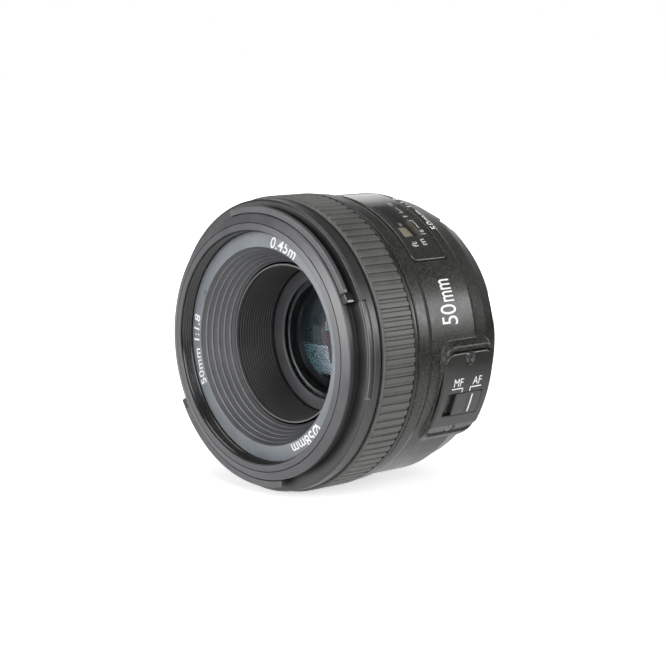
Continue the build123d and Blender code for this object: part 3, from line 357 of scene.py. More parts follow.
# ---- name ring ----
# The name ring is an ABS ring with a matt blue-grey face that slopes in toward the glass. It snaps
# in behind the filter thread and carries the lens's figures in white pad print.
name_inner, name_outer, name_front, name_slope = 24.7, 28.57, 3.05, 0.75
baseline_radius, print_radius = 25.75, 26.6
name_plastic = surface(
    "matt_moulded_ABS", "#676c71", "#777c81", (0.42, 0.54), grain=0.14, relief=0.003, specular=0.8)
lathe("name_ring_face", rounded([(name_inner, name_front), (name_outer, name_front + name_slope),
                                 (name_outer, disc_front), (name_inner, disc_front)],
                                [0.16, 0.05, 0.05, 0.05]),
      name_plastic, "barrel", "name_ring_plastic", "name_ring")

white_paint = surface("white_pad_printing_ink", "#dcdcda", "#f0f0ee", (0.45, 0.55), grain=0.1, relief=0.001)


def word(text, size, x, y, spacing=1.0, wide=1.0, thin=0.012):
    """A word as a flat solid in millimetres, its middle at x and its baseline at y."""
    curve = bpy.data.curves.new("word", "FONT")
    curve.body, curve.size, curve.align_x, curve.space_character = text, size, "CENTER", spacing
    curve.extrude, curve.resolution_u, curve.offset = 0.5, 3, -thin * size
    carrier = placed("word", curve)
    bpy.context.view_layer.update()
    mesh = bpy.data.meshes.new_from_object(carrier)
    bpy.data.objects.remove(carrier)
    mesh.transform(Matrix.Translation((x, y, 0)) @ Matrix.Diagonal((wide, 1, 1, 1)))
    return mesh


def bar(x0, y0, x1, y1):
    """A filled rectangle as a flat solid in millimetres."""
    mesh = bpy.data.meshes.new("bar")
    corners = [(x, y, z) for z in (-0.5, 0.5) for x, y in ((x0, y0), (x1, y0), (x1, y1), (x0, y1))]
    mesh.from_pydata(corners, [], [(0, 3, 2, 1), (4, 5, 6, 7), (0, 1, 5, 4), (1, 2, 6, 5),
                                   (2, 3, 7, 6), (3, 0, 4, 7)])
    return mesh


def points_of(mesh):
    """The mesh's points as rows of three coordinates."""
    flat = np.empty(len(mesh.vertices) * 3)
    mesh.vertices.foreach_get("co", flat)
    return flat.reshape(-1, 3)


def print_on(name, marks, place, body="barrel", thickness=0.02, material=white_paint):
    """Ink: flat marks are cut every 0.7 mm both ways, so that they can bend, and laid by place().

    place(x, y) gives the radius, clock and station of a flat point and the way outwards there. The
    ink's lower side lies just under the surface, and its upper side stands proud by its thickness.
    """
    mesh = bpy.data.meshes.new(name)
    work = bmesh.new()
    for mark in marks:
        work.from_mesh(mark)
    work.to_mesh(mesh)
    flat = points_of(mesh)
    for axis in (0, 1):
        for cut in np.arange(flat[:, axis].min() + 0.35, flat[:, axis].max(), 0.7):
            normal = np.eye(3)[axis]
            bmesh.ops.bisect_plane(work, geom=work.verts[:] + work.edges[:] + work.faces[:],
                                   plane_co=cut * normal, plane_no=normal)
    bmesh.ops.remove_doubles(work, verts=work.verts, dist=1e-4)
    work.to_mesh(mesh)
    work.free()
    flat = points_of(mesh)
    radius, clock, station, outward = place(flat[:, 0], flat[:, 1])
    lift = np.where(flat[:, 2] > 0, thickness, -0.03)
    points = around(radius + lift * outward[0], clock, station + lift * outward[1])
    mesh.vertices.foreach_set("co", points.ravel())
    mesh.update()
    mesh.materials.append(material)
    made = placed(name, mesh)
    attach(made, body)


def on_name_ring(clock):
    """Lays marks on the sloping face at a clock angle, their tops away from the axis."""
    slope = name_slope / (name_outer - name_inner)
    lean = np.hypot(1, slope)

    def place(x, y):
        radius = baseline_radius + y / lean
        station = name_front + (radius - name_inner) * slope
        return radius, clock + np.degrees(x / print_radius), station, (slope / lean, -1 / lean)
    return place


for piece, text, size, y, spacing, wide, clock in (
        ("name_ring_focal_length", "50mm 1:1.8", 3.9, -0.6, 1.05, 0.95, 262.0),
        ("name_ring_filter_size", "Ø58mm", 3.9, -0.6, 1.0, 0.95, 144.0),
        ("name_ring_near_limit", "0.45m", 3.8, -0.8, 1.05, 1.0, 16.0)):
    print_on(piece, [word(text, size, 0, y, spacing, wide, -0.012)], on_name_ring(clock))
black_ink = surface("black_pad_printing_ink", "#141414", "#1c1c1c", (0.45, 0.55), grain=0.1, relief=0.001)
print_on("name_ring_tick", [bar(-0.34, -0.95, -0.12, 0.0), bar(0.1, -0.95, 0.32, 0.0)],
         on_name_ring(297.0), material=black_ink)


# ---- stepped baffle ----
# Behind the name ring a funnel of six turned steps, moulded in black ABS and left matt, keeps
# stray light off the glass. The lip of each step is slightly rounded and has a painted highlight.
baffle_steps, baffle_start, baffle_end = 6, 3.05, 11.2
baffle_mouth, baffle_exit, baffle_wall = 24.67, 20.3, 0.9
baffle_plastic = surface(
    "matt_black_ABS", "#303134", "#3d3e41", (0.38, 0.5), grain=0.14, relief=0.003, specular=0.9)


def flight(count, first, step, *offsets):
    """Corners of a flight of steps, and a chain of points at these offsets from each corner."""
    corners = np.array(first) + np.arange(count)[:, None] * step
    return corners, np.stack([corners + offset for offset in offsets], axis=1).reshape(-1, 2)


step_length = (baffle_end - baffle_start) / baffle_steps
step_drop = (baffle_mouth - baffle_exit) / baffle_steps
lips, inside = flight(baffle_steps, (baffle_mouth, baffle_start), (-step_drop, step_length),
                      (0, 0), (-0.04, 0.34), (0.24, 0.42))
outside = [(baffle_exit + 0.12, baffle_end - 0.1), (baffle_exit + 0.12, baffle_end),
           (baffle_exit + baffle_wall, baffle_end), (baffle_mouth + baffle_wall, disc_front + 1.4),
           (baffle_mouth + baffle_wall, disc_front), (25.0, disc_front)]
funnel = lathe("baffle_funnel", rounded(np.concatenate([inside, outside]), 0.06), baffle_plastic,
               "barrel", "baffle_plastic", "front_baffle")
# Painted highlight: a light grey on each step's lip.
lip_painted_highlight = surface("baffle_lip_painted_highlight", "#8e9094", "#a4a6aa", (0.3, 0.4), relief=0.001, specular=0.9)
refinish(funnel, lip_painted_highlight, lambda r, y: (
    (np.abs(r[:, None] - lips[:, 0]) < 0.1) & (np.abs(y[:, None] - lips[:, 1] - 0.17) < 0.2)).any(axis=1))


# ---- focusing ring ----
# The focusing ring is black polycarbonate; behind the grip it ends in a polished rim. Over it sits
# a moulded rubber sleeve with flat ribs, cut off square at the rear so that the grooves run out.
focus_front, grip_rear, focus_rear = 8.6, 19.1, 20.3
focus_inner, grip_inner, grip_radius = 33.76, 35.33, 36.95
ribs, groove_width, groove_depth, first_groove = 102, 1.1, 0.4, 0.88
rim_plastic = surface("satin_black_polycarbonate", "#181816", "#222220", (0.28, 0.38), specular=0.6)
lathe("focusing_ring_body",
      rounded([(focus_inner, focus_front), (grip_inner - 0.03, focus_front),
               (grip_inner - 0.03, grip_rear + 0.05), (grip_radius - 0.15, grip_rear + 0.05),
               (grip_radius, grip_rear + 0.3), (grip_radius, focus_rear - 0.3),
               (grip_radius - 0.3, focus_rear), (focus_inner, focus_rear)],
              [0.1, 0.1, 0.1, 0.12, 0.12, 0.15, 0.15, 0.1]),
      rim_plastic, "focus_assembly", "grip_rubber", "focus_ring")

grip_rubber = surface(
    "moulded_nitrile_rubber", "#434341", "#545450", (0.44, 0.56), grain=0.25, relief=0.006, specular=0.8)
pitch = 360 / ribs
half_groove = np.degrees(groove_width / 2 / grip_radius)
wall, nose = np.degrees(0.09 / grip_radius), np.degrees(0.14 / grip_radius)
within = np.array([0, half_groove * 0.5, half_groove - wall - nose * 1.1, half_groove - wall - nose * 0.8,
                   half_groove - wall - nose * 0.1, half_groove - wall, half_groove,
                   half_groove + nose * 0.35, half_groove + nose, pitch / 2])
fall = np.array([1, 1, 1, 1.5, 1.5, 1.3, 0.16, 0.03, 0, 0])
within = np.concatenate([-within[:0:-1], within])[:-1]
fall = np.concatenate([fall[:0:-1], fall])[:-1]
grip_clocks = (first_groove + pitch * np.arange(ribs)[:, None] + within[None]).ravel()
depth = np.tile(fall, ribs) * groove_depth
stations = np.array([0, 0, 0.05, 0.16, 0.42, 0.5, 0.62, 0.74, 0.95, 1.2, 1.6, 5.2, 8.9, 9.9, 10.2, 10.38,
                     10.45, 10.45]) + focus_front
drop = np.array([0, 0.28, 0.14, 0.04, 0.04, 0.12, 0.3, 0.18, 0.04, 0, 0, 0, 0, 0, 0.03, 0.12, 0.3, 0])
grooved = np.array([0, 0, 0, 0, 0, 0.1, 0.5, 0.8, 1, 1, 1, 1, 1, 1, 1, 1, 1, 0])
radius = grip_radius - np.maximum(drop[:, None], grooved[:, None] * depth[None])
radius[[0, -1]] = grip_inner
build("focusing_grip", around(radius, grip_clocks[None], stations[:, None]),
      quads(len(stations), len(grip_clocks), wrap_rows=True), grip_rubber, "focus_assembly",
      "grip_rubber", "focus_grip")


# ---- rear casing ----
# The rear casing is black polycarbonate with a fine etched grain and a faint sparkle. Its front lip
# stands a little higher, it tapers to the mount, and the switch sits on a raised, bevelled boss.
top_clock = 28.5
casing_front, casing_rear, casing_radius = 20.7, 52.1, 35.95
casing_corners = [(36.25, casing_front), (36.6, 21.0), (36.6, 24.2), (casing_radius, 25.8),
                  (casing_radius, 40.8), (35.5, 41.8), (34.3, 47.0), (32.1, 51.9), (31.9, casing_rear)]
casing_rounding = [0, 0.25, 0.25, 0.3, 0.15, 0.25, 0.8, 0.15, 0]
inner_line = ([casing_front, 24.0, 24.1, 39.8, 47.0, 50.3, 51.0, casing_rear],
              [33.75, 33.75, 34.3, 34.3, 32.65, 31.75, 30.05, 30.05])
switch_clock, boss_radius, boss_base = 109.0, 37.5, 32.75
boss_half_height, boss_corner, boss_front, boss_rear, boss_lean = 14.3, 5.0, 27.4, 48.2, 30.0
plate_half_height, plate_corner, plate_front, plate_rear = 11.6, 3.2, 29.5, 46.6
plate_outer, plate_thickness, plate_gap = 37.15, 1.1, 0.14
window_front, window_rear, window_half_arc, window_corner, window_height = 26.2, 38.3, 24.5, 1.6, 0.55
window_middle, window_half_x = (window_front + window_rear) / 2, (window_rear - window_front) / 2
opening_front, opening_rear, opening_half_arc = 29.0, 34.9, 12.0
recess_half_width, recess_front, recess_floor, recess_radius = 2.7, 47.8, 31.2, 33.0
boss_circle = 36.3
window_seat = casing_radius - window_height / 3 - 0.08
casing_plastic = surface(
    "etched_black_polycarbonate", "#0b0b0a", "#3a3a36", (0.28, 0.38), grain=0.42, relief=0.02,
    specular=0.52, soften=0.05, patchy=False)


def inset(x, y, half_x, half_y, corner):
    """Distance inside a rounded rectangle about the origin, negative outside it."""
    beyond_x, beyond_y = np.abs(x) - half_x + corner, np.abs(y) - half_y + corner
    outside = np.hypot(np.maximum(beyond_x, 0), np.maximum(beyond_y, 0))
    return corner - outside - np.minimum(np.maximum(beyond_x, beyond_y), 0)


def soft_least(a, b, width):
    """The smaller of two heights, with the crease between them rounded over this width."""
    return (a + b - np.sqrt((a - b) ** 2 + width ** 2)) / 2


profile = rounded(casing_corners, casing_rounding, closed=False)
turn_scale = np.degrees(1 / boss_circle)
boss_u = np.concatenate([np.arange(-17.0, 17.01, 0.25),
                         [s * (plate_half_height + e) for s in (-1, 1) for e in (0.02, 0.1, 0.16, 0.3)]])
window_u = casing_radius * np.sin(np.radians(window_half_arc))
top_arcs = np.array([opening_half_arc, opening_half_arc + 0.03 * turn_scale,
                     np.degrees(recess_half_width / recess_radius),
                     np.degrees((recess_half_width + 0.06) / recess_radius),
                     window_half_arc + 0.02, window_half_arc + 0.1])
around_clocks = np.concatenate([np.arange(0, 360, 1.5), switch_clock + boss_u * turn_scale,
                                top_clock - top_arcs, top_clock + top_arcs])
clocks = np.unique(np.round(around_clocks % 360, 4))
stations = np.unique(np.round(np.concatenate([
    profile[:, 1], np.arange(boss_front - 0.8, boss_rear + 1.6, 0.25),
    [opening_front - 0.03, opening_front, opening_rear, opening_rear + 0.03],
    [plate_front - 0.16, plate_front - 0.1, plate_front - 0.02, plate_rear + 0.02, plate_rear + 0.1,
     plate_rear + 0.16], [recess_front - 0.06, recess_front],
    [window_front - 0.12, window_front - 0.04, window_rear + 0.04, window_rear + 0.12]]), 4))
clock, station = np.meshgrid(clocks, stations)
casing = np.interp(station, profile[:, 1], profile[:, 0])
from_switch = (clock - switch_clock + 180) % 360 - 180
u = boss_circle * np.sin(np.radians(from_switch))
facing = np.abs(from_switch) < 60
boss_middle, boss_half_x = (boss_front + boss_rear) / 2, (boss_rear - boss_front) / 2
plate_middle, plate_half_x = (plate_front + plate_rear) / 2, (plate_rear - plate_front) / 2
inside_boss = inset(u, station - boss_middle, boss_half_height, boss_half_x, boss_corner)
flank = np.hypot(u, boss_base + inside_boss / np.tan(np.radians(boss_lean)))
crown = np.interp(station, [boss_rear - 2.5, casing_rear], [boss_radius, 33.1])
facet_start, facet_slope = plate_half_height - 3.3, 0.3
crown = crown - facet_slope * np.maximum(u - facet_start, 0)
boss = soft_least(flank, crown, 0.3)
boss = np.where(facing & (inside_boss > 0), boss, 0)
outer = casing + np.maximum(boss - casing, 0)
in_pocket = facing & (inset(u, station - plate_middle, plate_half_height + plate_gap,
                            plate_half_x + plate_gap, plate_corner) > 0)
outer = np.where(in_pocket, plate_outer - plate_thickness - 0.05, outer)
from_top = (clock - top_clock + 180) % 360 - 180
top_u = casing_radius * np.sin(np.radians(from_top))
in_window = (np.abs(from_top) < 60) & (inset(top_u, station - window_middle, window_u + 0.05,
                                             window_half_x + 0.05, window_corner) > 0)
outer = np.where(in_window, window_seat, outer)
in_recess = (np.abs(recess_radius * np.radians(from_top)) < recess_half_width + 0.01) \
    & (station > recess_front - 0.01)
outer = np.where(in_recess, np.minimum(outer, np.hypot(top_u, recess_floor)), outer)
inner = np.minimum(np.interp(station, *inner_line), outer - 0.6)
in_opening = (np.abs(from_top) < opening_half_arc + 1e-3) & (station > opening_front - 1e-3) \
    & (station < opening_rear + 1e-3)
outer = np.where(in_opening, inner, outer)


def shell(outer_points, inner_points, solid, wrap_columns=True):
    """Faces of a wall between two sheets of points, joined along their outer edges.

    solid tells, face by face, where the wall is; at the edge of a hole both sheets share points.
    """
    rows, columns = outer_points.shape[:2]
    sheet = quads(rows, columns, wrap_columns=wrap_columns, keep=solid)
    index = np.arange(rows * columns).reshape(rows, columns)
    if wrap_columns:
        rims = [np.append(index[0], index[0, 0]), np.append(index[-1], index[-1, 0])]
    else:
        rims = [np.concatenate([index[0], index[1:, -1], index[-1, -2::-1], index[-2::-1, 0]])]
    walls = [np.stack([rim[:-1], rim[1:], rim[1:] + index.size, rim[:-1] + index.size], axis=-1)
             for rim in rims]
    points = np.concatenate([outer_points.reshape(-1, 3), inner_points.reshape(-1, 3)])
    return points, np.concatenate([sheet, sheet + index.size, *walls])


next_in = np.roll(in_opening, -1, axis=1)
solid = ~(in_opening[:-1] & in_opening[1:] & next_in[:-1] & next_in[1:])
casing_shell = build("casing_shell", *shell(around(outer, clock, station),
                                            around(inner, clock, station), solid),
                     casing_plastic, "barrel", "barrel_aluminium", "rear_casing")


# ---- distance window ----
# A window of clear polycarbonate, domed to the casing and polished, is glued over the opening. Its
# bevelled edge is left ground, and the depth-of-field marks are printed beneath it in white.
def panel(half_x, half_y, corner, x_lines, y_lines):
    """Grid over a rounded rectangle: each corner's square is turned into a quarter disc.

    A point (p, q) of the corner's unit square goes to (p sqrt(1 - q^2 / 2), q sqrt(1 - p^2 / 2)).
    """
    flat = np.stack(np.meshgrid(x_lines, y_lines))
    straight = np.array([half_x, half_y])[:, None, None] - corner
    p = np.maximum((np.abs(flat) - straight) / corner, 0)
    bent = straight + corner * p * np.sqrt(1 - np.minimum(p[::-1], 1) ** 2 / 2)
    return np.sign(flat) * np.where(p > 0, bent, np.abs(flat))


def lines(half, step, edge=(0.0, 0.04, 0.1, 0.18, 0.3, 0.45), extra=()):
    """Grid lines from -half to half, with more of them near both ends and at extra places."""
    count = max(2, int(np.ceil(2 * half / step)))
    near = np.array(edge)
    every = np.concatenate([np.linspace(-half + edge[-1], half - edge[-1], count), half - near,
                            near - half, np.array(extra, float).ravel()])
    return np.unique(np.round(every, 5))


def tablet(name, clock, middle, shape, x_lines, y_lines, top, low, material, body, slot, *replaced,
           hole=None, circle=boss_circle):
    """Plate bent round the lens: x runs along the axis to the rear and y down the clock.

    Its shape is a rounded rectangle: half its length along x, half its height along y, its corner.
    top(x, y) is the radius of its upper side, low the radius of its lower side, and hole(x, y) tells
    where it is open. y is measured across a circle of this radius.
    """
    x, y = panel(*shape, x_lines, y_lines)
    upper = top(x, y)
    lower = np.minimum(np.broadcast_to(low, x.shape), upper - 1e-3)
    solid = np.ones((len(y_lines) - 1, len(x_lines) - 1), bool)
    if hole is not None:
        gone = hole(x, y)
        upper = np.where(gone, lower, upper)
        solid = ~(gone[:-1, :-1] & gone[1:, :-1] & gone[:-1, 1:] & gone[1:, 1:])
    turned = clock + np.degrees(np.arcsin(y / circle))
    return build(name, *shell(around(upper, turned, middle + x), around(lower, turned, middle + x), solid,
                              wrap_columns=False), material, body, slot, *replaced)


def bevelled(height, width, shape):
    """Upper side at this radius, falling away in a quarter round over the last width to the edge."""
    def top(x, y):
        near = np.clip(1 - inset(x, y, *shape) / width, 0, 1)
        return height - width * (1 - np.sqrt(1 - near ** 2))
    return top


window_plastic, tree = blank(bpy.data.materials, "polished_clear_polycarbonate")
bump = add(tree, "Bump", {"Height": noise(tree, 5.0, 1.0), "Distance": 0.004 * mm})
clear = add(tree, "BsdfTransparent", {"Color": (0.93, 0.93, 0.92, 1)})
gloss = add(tree, "BsdfGlossy", {"Roughness": 0.07, "Normal": bump})
mirror = add(tree, "Fresnel", {"IOR": 1.7, "Normal": bump})
outside = add(tree, "Math", {0: 1.0, 1: add(tree, "NewGeometry").outputs["Backfacing"]},
              operation="SUBTRACT")
share = add(tree, "Math", {0: mirror, 1: outside}, operation="MULTIPLY")
share = add(tree, "Math", {0: share, 1: 1.8}, operation="MULTIPLY", use_clamp=True)
body = add(tree, "MixShader", {0: share, 1: clear, 2: gloss})
add(tree, "OutputMaterial", {"Surface": body})
window_bottom, window_top = casing_radius - window_height / 3, casing_radius + window_height * 2 / 3
window_shape = (window_half_x, window_u, window_corner)
window = tablet("window", top_clock, window_middle, window_shape, lines(window_half_x, 0.8),
                lines(window_u, 0.8), bevelled(window_top, 0.3, window_shape), window_bottom,
                window_plastic, "barrel", "window_plastic", "distance_window", circle=casing_radius)
window_edge = surface(
    "ground_polycarbonate_edge", "#333331", "#44443f", (0.14, 0.2), relief=0.001, specular=0.9)
refinish(window, window_edge, lambda r, y: (r < window_top - 0.012) & (r > window_bottom + 0.01))


def on_casing(clock, station, surface_radius):
    """Lays marks with their tops to the front, reading up, at the surface's radius there."""
    def place(x, y):
        radius = surface_radius(station - y)
        return radius, clock - np.degrees(x / casing_radius), station - y, (1, 0)
    return place


marks = [bar(-0.2, -0.5, 0.2, 1.0)]
for side in (-1, 1):
    near, far = side * 1.9, side * 4.9
    marks += [bar(min(near, far), -0.6, max(near, far), -0.3),
              bar(near - 0.15, -0.6, near + 0.15, 0.6),
              word("16", 2.1, side * 6.6, -1.1, 1.0, 1.0, -0.01)]
marks += [word("m", 3.0, -9.7, 0.9, 1.0, 1.0, -0.01), word("ft", 2.9, -10.2, 4.0, 1.0, 1.0, -0.01)]
print_on("depth_of_field_marks", marks,
         on_casing(top_clock, 35.4, lambda station: window_seat + 0 * station), thickness=0.04)


# ---- distance scale ----
# The scale is a curved plate of lacquered brass on the cam ring, seen through the opening. A black
# film with white figures for metres and feet covers most of it. The opening's rear wall is cream.
scale_plate = surface("cream_lacquered_brass", "#b9b099", "#c4baa4", (0.4, 0.5), grain=0.3)
film_plastic = surface("black_polyester_film", "#141414", "#1c1c1c", (0.4, 0.5), relief=0.001)
wall_paint = surface("cream_painted_polycarbonate", "#6c6657", "#787262", (0.4, 0.5), grain=0.3)
scale_radius, film_start, film_end, film_thickness = 33.2, -88.0, 30.5, 0.1
film_front, film_rear = 27.9, 35.3
film_outer = scale_radius + film_thickness
film = rounded([(scale_radius, film_front), (film_outer, film_front), (film_outer, film_rear),
                (scale_radius, film_rear)], 0.02)
build("distance_film", *arc_bar(film, film_start, film_end, edge=0.03), film_plastic,
      "focus_assembly", "scale_plate")
refinish(casing_shell, wall_paint, lambda r, y: (
    (np.abs(y - opening_rear - 0.015) < 0.02) & (r > 34.4) & (r < window_seat - 0.05)),
    arc=(film_end, top_clock + opening_half_arc))
full_turn, nearest = 57.9, 0.45
figures = []
for row in (-1.6, 1.9):
    infinity = word("8", 2.4, 0.0, -0.85)
    infinity.transform(Matrix.Translation((0, row, 0)) @ Matrix.Rotation(np.pi / 2, 4, "Z"))
    figures.append(infinity)
for row, distances in (
        (-2.4, {"3": 3.0, "1.5": 1.5, "1": 1.0, "0.7": 0.7, "0.55": 0.55, "0.45": 0.45}),
        (1.1, {"10": 3.05, "5": 1.52, "3": 0.91, "2.2": 0.67, "1.8": 0.55, "1.5": 0.457})):
    figures += [word(text, 2.2, full_turn * nearest / metres, row) for text, metres in distances.items()]
print_on("distance_figures", figures, on_casing(top_clock, 33.0, lambda station: film_outer + 0 * station),
         body="focus_assembly", thickness=0.03)


# ---- lettering on the casing ----
# The focal length is pad printed on the casing in large figures, and again small behind the window.
def skin(station):
    """Radius of the casing at a station."""
    return np.interp(station, profile[:, 1], profile[:, 0])


print_on("focal_length", [word("50", 7.8, -3.1, 0, 0.95, 0.72, 0.0),
                          word("mm", 7.8, 3.0, 0, 1.0, 0.51, -0.006)], on_casing(71.0, 35.3, skin))
print_on("lens_figures", [word("50mm 1:1.8", 3.2, 0, 0, 1.08, 1.0, -0.004)], on_casing(25.5, 41.6, skin))


# ---- focus mode switch ----
# The switch plate is a separate satin ABS moulding held by two crossed-recess screws. The knob
# slides along the axis in its slot, and the two positions are printed above it.
slot_front, slot_rear, slot_clock, slot_half_height = 32.0, 44.1, 112.2, 3.2
slot_middle, slot_half_x = (slot_front + slot_rear) / 2, (slot_rear - slot_front) / 2
screw_spread, screw_pocket = 10.0, 1.4
plate_inner = plate_outer - plate_thickness
plate_shape = (plate_half_x, plate_half_height, plate_corner)
slot_shift = plate_outer * np.sin(np.radians(slot_clock - switch_clock))
switch_plastic = surface("satin_moulded_ABS", "#161513", "#22211f", (0.3, 0.4), relief=0.005, specular=0.9)
switch_satin = surface(
    "worn_satin_ABS", "#29282a", "#343336", (0.3, 0.42), grain=0.16, relief=0.003, specular=0.8)


def slot_inset(x, y, corner):
    """Distance inside the knob's slot in the plate, negative outside it."""
    return inset(x - slot_middle + plate_middle, y - slot_shift, slot_half_x, slot_half_height, corner)


def plate_top(x, y):
    """Bevelled plate with a round pocket about each screw."""
    height = bevelled(plate_outer, 0.6, plate_shape)(x, y)
    to_screw = np.hypot(x, np.abs(y) - screw_spread)
    pocket = np.clip((screw_pocket + 0.12 - to_screw) / 0.24, 0, 1)
    lip = 0.12 * np.clip(1 + slot_inset(x, y, 0.1) / 0.25, 0, 1)
    return height - 0.75 * pocket - lip - facet_slope * np.maximum(y - facet_start, 0)


beyond = np.array([0, 0.02, 0.12, 0.25])
slot_lines_x = [slot_front - plate_middle - beyond, slot_rear - plate_middle + beyond]
slot_lines_y = [slot_shift - slot_half_height - beyond, slot_shift + slot_half_height + beyond]
tablet("switch_cover", switch_clock, plate_middle, plate_shape,
       lines(plate_half_x, 0.2, extra=slot_lines_x), lines(plate_half_height, 0.2, extra=slot_lines_y),
       plate_top, plate_inner, switch_plastic, "barrel", "switch_plastic", "switch_plate",
       hole=lambda x, y: slot_inset(x, y, 0.01) > -1e-4, circle=plate_outer)

knob_shape, knob_rear, knob_proud, knob_bar = (4.5, 3.05, 0.6), 44.0, 0.25, 0.2
knob_middle = knob_rear - knob_shape[0]


def knob_top(x, y):
    """Rounded knob with a raised bar across its middle."""
    height = bevelled(plate_outer + knob_proud - knob_bar, 0.3, knob_shape)(x, y)
    across = np.clip((0.75 - np.abs(x - 0.6)) / 0.25, 0, 1)
    return height + knob_bar * across * np.clip((2.75 - np.abs(y)) / 0.25, 0, 1)


tablet("switch_slider", slot_clock, knob_middle, knob_shape, lines(knob_shape[0], 0.2),
       lines(knob_shape[1], 0.2), knob_top, plate_inner - 1.0,
       switch_satin, "mode_switch", "switch_plastic", "switch_knob", circle=plate_outer)


def along(clock, station):
    """Lays marks on the switch plate, reading along the axis to the rear."""
    def place(x, y):
        return plate_outer + 0 * x, clock - np.degrees(y / plate_outer), station + x, (1, 0)
    return place


def on_knob(x, y):
    """Lays marks on the knob's raised bar."""
    radius, clock, station, outward = along(slot_clock, knob_middle + 0.9)(x, y)
    return radius + knob_proud, clock, station, outward


print_on("slider_line", [bar(-0.22, -2.4, 0.22, 2.6)], on_knob, body="mode_switch")
switch_words = [word("MF", 3.0, -3.3, 0.0, 1.0, 0.92, 0.0), word("AF", 3.0, 3.4, 0.0, 1.0, 0.92, 0.0),
                bar(-5.2, -0.75, -1.3, -0.45), bar(-1.6, -1.7, -1.3, -0.45),
                bar(1.2, -0.75, 5.1, -0.45), bar(1.2, -1.7, 1.5, -0.45)]
print_on("switch_words", switch_words, along(104.3, 38.05))

screw_steel = surface("nickel_plated_screw_steel", "#7c7c7a", "#8e8e8b", (0.3, 0.4), grain=0.1, metallic=1.0)
head_radius, slot_half_width, slot_reach = 1.15, 0.2, 0.75


def screw_top(x, y):
    """Low dome with a crossed recess turned by an eighth."""
    dome = plate_outer - 0.62 - 0.18 * (x ** 2 + y ** 2) / head_radius ** 2
    across = np.stack([np.abs(x + y), np.abs(x - y)]) / np.sqrt(2)
    arms = np.clip((slot_half_width - across) / 0.08, 0, 1) \
        * np.clip((slot_reach - across[::-1]) / 0.1, 0, 1)
    return dome - 0.35 * arms.max(axis=0)


head_lines = lines(head_radius, 0.09, (0, 0.03, 0.08))
for name, side, replaced in (("switch_screw_1", -1, ["switch_plate_screws"]), ("switch_screw_2", 1, [])):
    tablet(name, switch_clock + side * np.degrees(np.arcsin(screw_spread / plate_outer)), plate_middle,
           [head_radius] * 3, head_lines, head_lines, screw_top, plate_outer - 1.0, screw_steel,
           "barrel", "screw_steel", *replaced)


# ---- moving barrel and its retaining ring ----
# The barrel that carries the glass is anodised aluminium with a ribbed, blackened mouth. A smooth
# ring with spanner slots holds the front glass in its cell.
barrel_outer, barrel_lip, barrel_front, barrel_rear = 19.95, 19.55, 10.8, 43.6
barrel_inner, flange_outer, flange_front, flange_rear = 18.95, 23.94, 26.8, 31.2
rib_count, rib_zone_end = 14, 22.6
barrel_metal = surface(
    "blackened_anodised_aluminium", "#323231", "#3c3c3b", (0.3, 0.42), grain=0.15, relief=0.003,
    specular=0.8)
ring_metal = surface("grey_anodised_aluminium", "#343438", "#404044", (0.35, 0.45), grain=0.18)
rib_pitch = (rib_zone_end - barrel_front - 0.5) / rib_count
crest, ribbed = flight(rib_count, (19.35, barrel_front + 0.5), (-0.043, rib_pitch),
                       (0, 0), (0, 0.14), (0.09, 0.2), (0.05, rib_pitch - 0.08))
barrel_outline = np.concatenate([[(barrel_lip, barrel_front)], ribbed, [
    (barrel_inner, rib_zone_end), (barrel_inner, barrel_rear), (barrel_outer, barrel_rear),
    (barrel_outer, flange_rear), (flange_outer, flange_rear), (flange_outer, flange_front),
    (barrel_outer, flange_front), (barrel_outer, barrel_front)]])
sleeve = lathe("optical_barrel", rounded(barrel_outline, 0.05), barrel_metal, "optical_unit",
               "inner_plastic", "inner_barrel")
# Painted highlight: a lighter grey on each rib's crest and on the barrel's front edge.
rib_crest_painted_highlight = surface(
    "anodised_rib_crest_painted_highlight", "#4c4c4b", "#5c5c5b", (0.3, 0.4), relief=0.001, specular=0.9)
refinish(sleeve, rib_crest_painted_highlight, lambda r, y: (
    (np.abs(r[:, None] - crest[:, 0]) < 0.07)
    & (np.abs(y[:, None] - crest[:, 1] - 0.07) < 0.08)).any(axis=1) | (y < barrel_front + 0.06))

ring_corners = [(15.4, 23.6), (15.7, 23.35), (18.6, 22.9), (18.6, 24.07), (17.0, 24.07), (15.6, 24.3)]
lathe("front_glass_ring", rounded(ring_corners, [0.08, 0.15, 0.12, 0.05, 0.05, 0.05]), ring_metal,
      "optical_unit", "inner_plastic", "front_retaining_ring")


# ---- glass ----
# Each element is ground and polished optical glass with a thin vacuum coating, which tints its
# reflections teal and violet. Its rim is painted black against stray light.
def coated_glass(name, film, tint, index):
    """Clear glass whose anti-reflection film tints the reflections on it.

    Light on its way out is only refracted, so that no reflections build up inside.
    """
    made, tree = blank(bpy.data.materials, name)
    body = add(tree, "BsdfPrincipled", {
        "Base Color": colour(tint), "Roughness": ramp(tree, noise(tree, 3.0), (0.0, 1.0), (0.0, 0.02)),
        "IOR": index, "Transmission Weight": 1.0, "Specular Tint": colour(film)})
    leaving = add(tree, "BsdfRefraction", {"Color": colour(tint), "Roughness": 0.0, "IOR": index})
    face = add(tree, "MixShader", {0: add(tree, "NewGeometry").outputs["Backfacing"],
                                   1: body, 2: leaving})
    add(tree, "OutputMaterial", {"Surface": face})
    return made


def spherical(vertex, curve, clear):
    """Outline of a spherical face from its vertex on the axis out to its clear radius.

    It falls behind the vertex by R - sqrt(R^2 - r^2) at the radius r; a curve of 0 means a flat face.
    """
    radius = clear * np.sin(np.linspace(0, np.pi / 2, 30))
    sag = curve - np.copysign(np.sqrt(curve ** 2 - radius ** 2), curve) if curve else 0 * radius
    return np.stack([radius, vertex + sag], axis=-1)


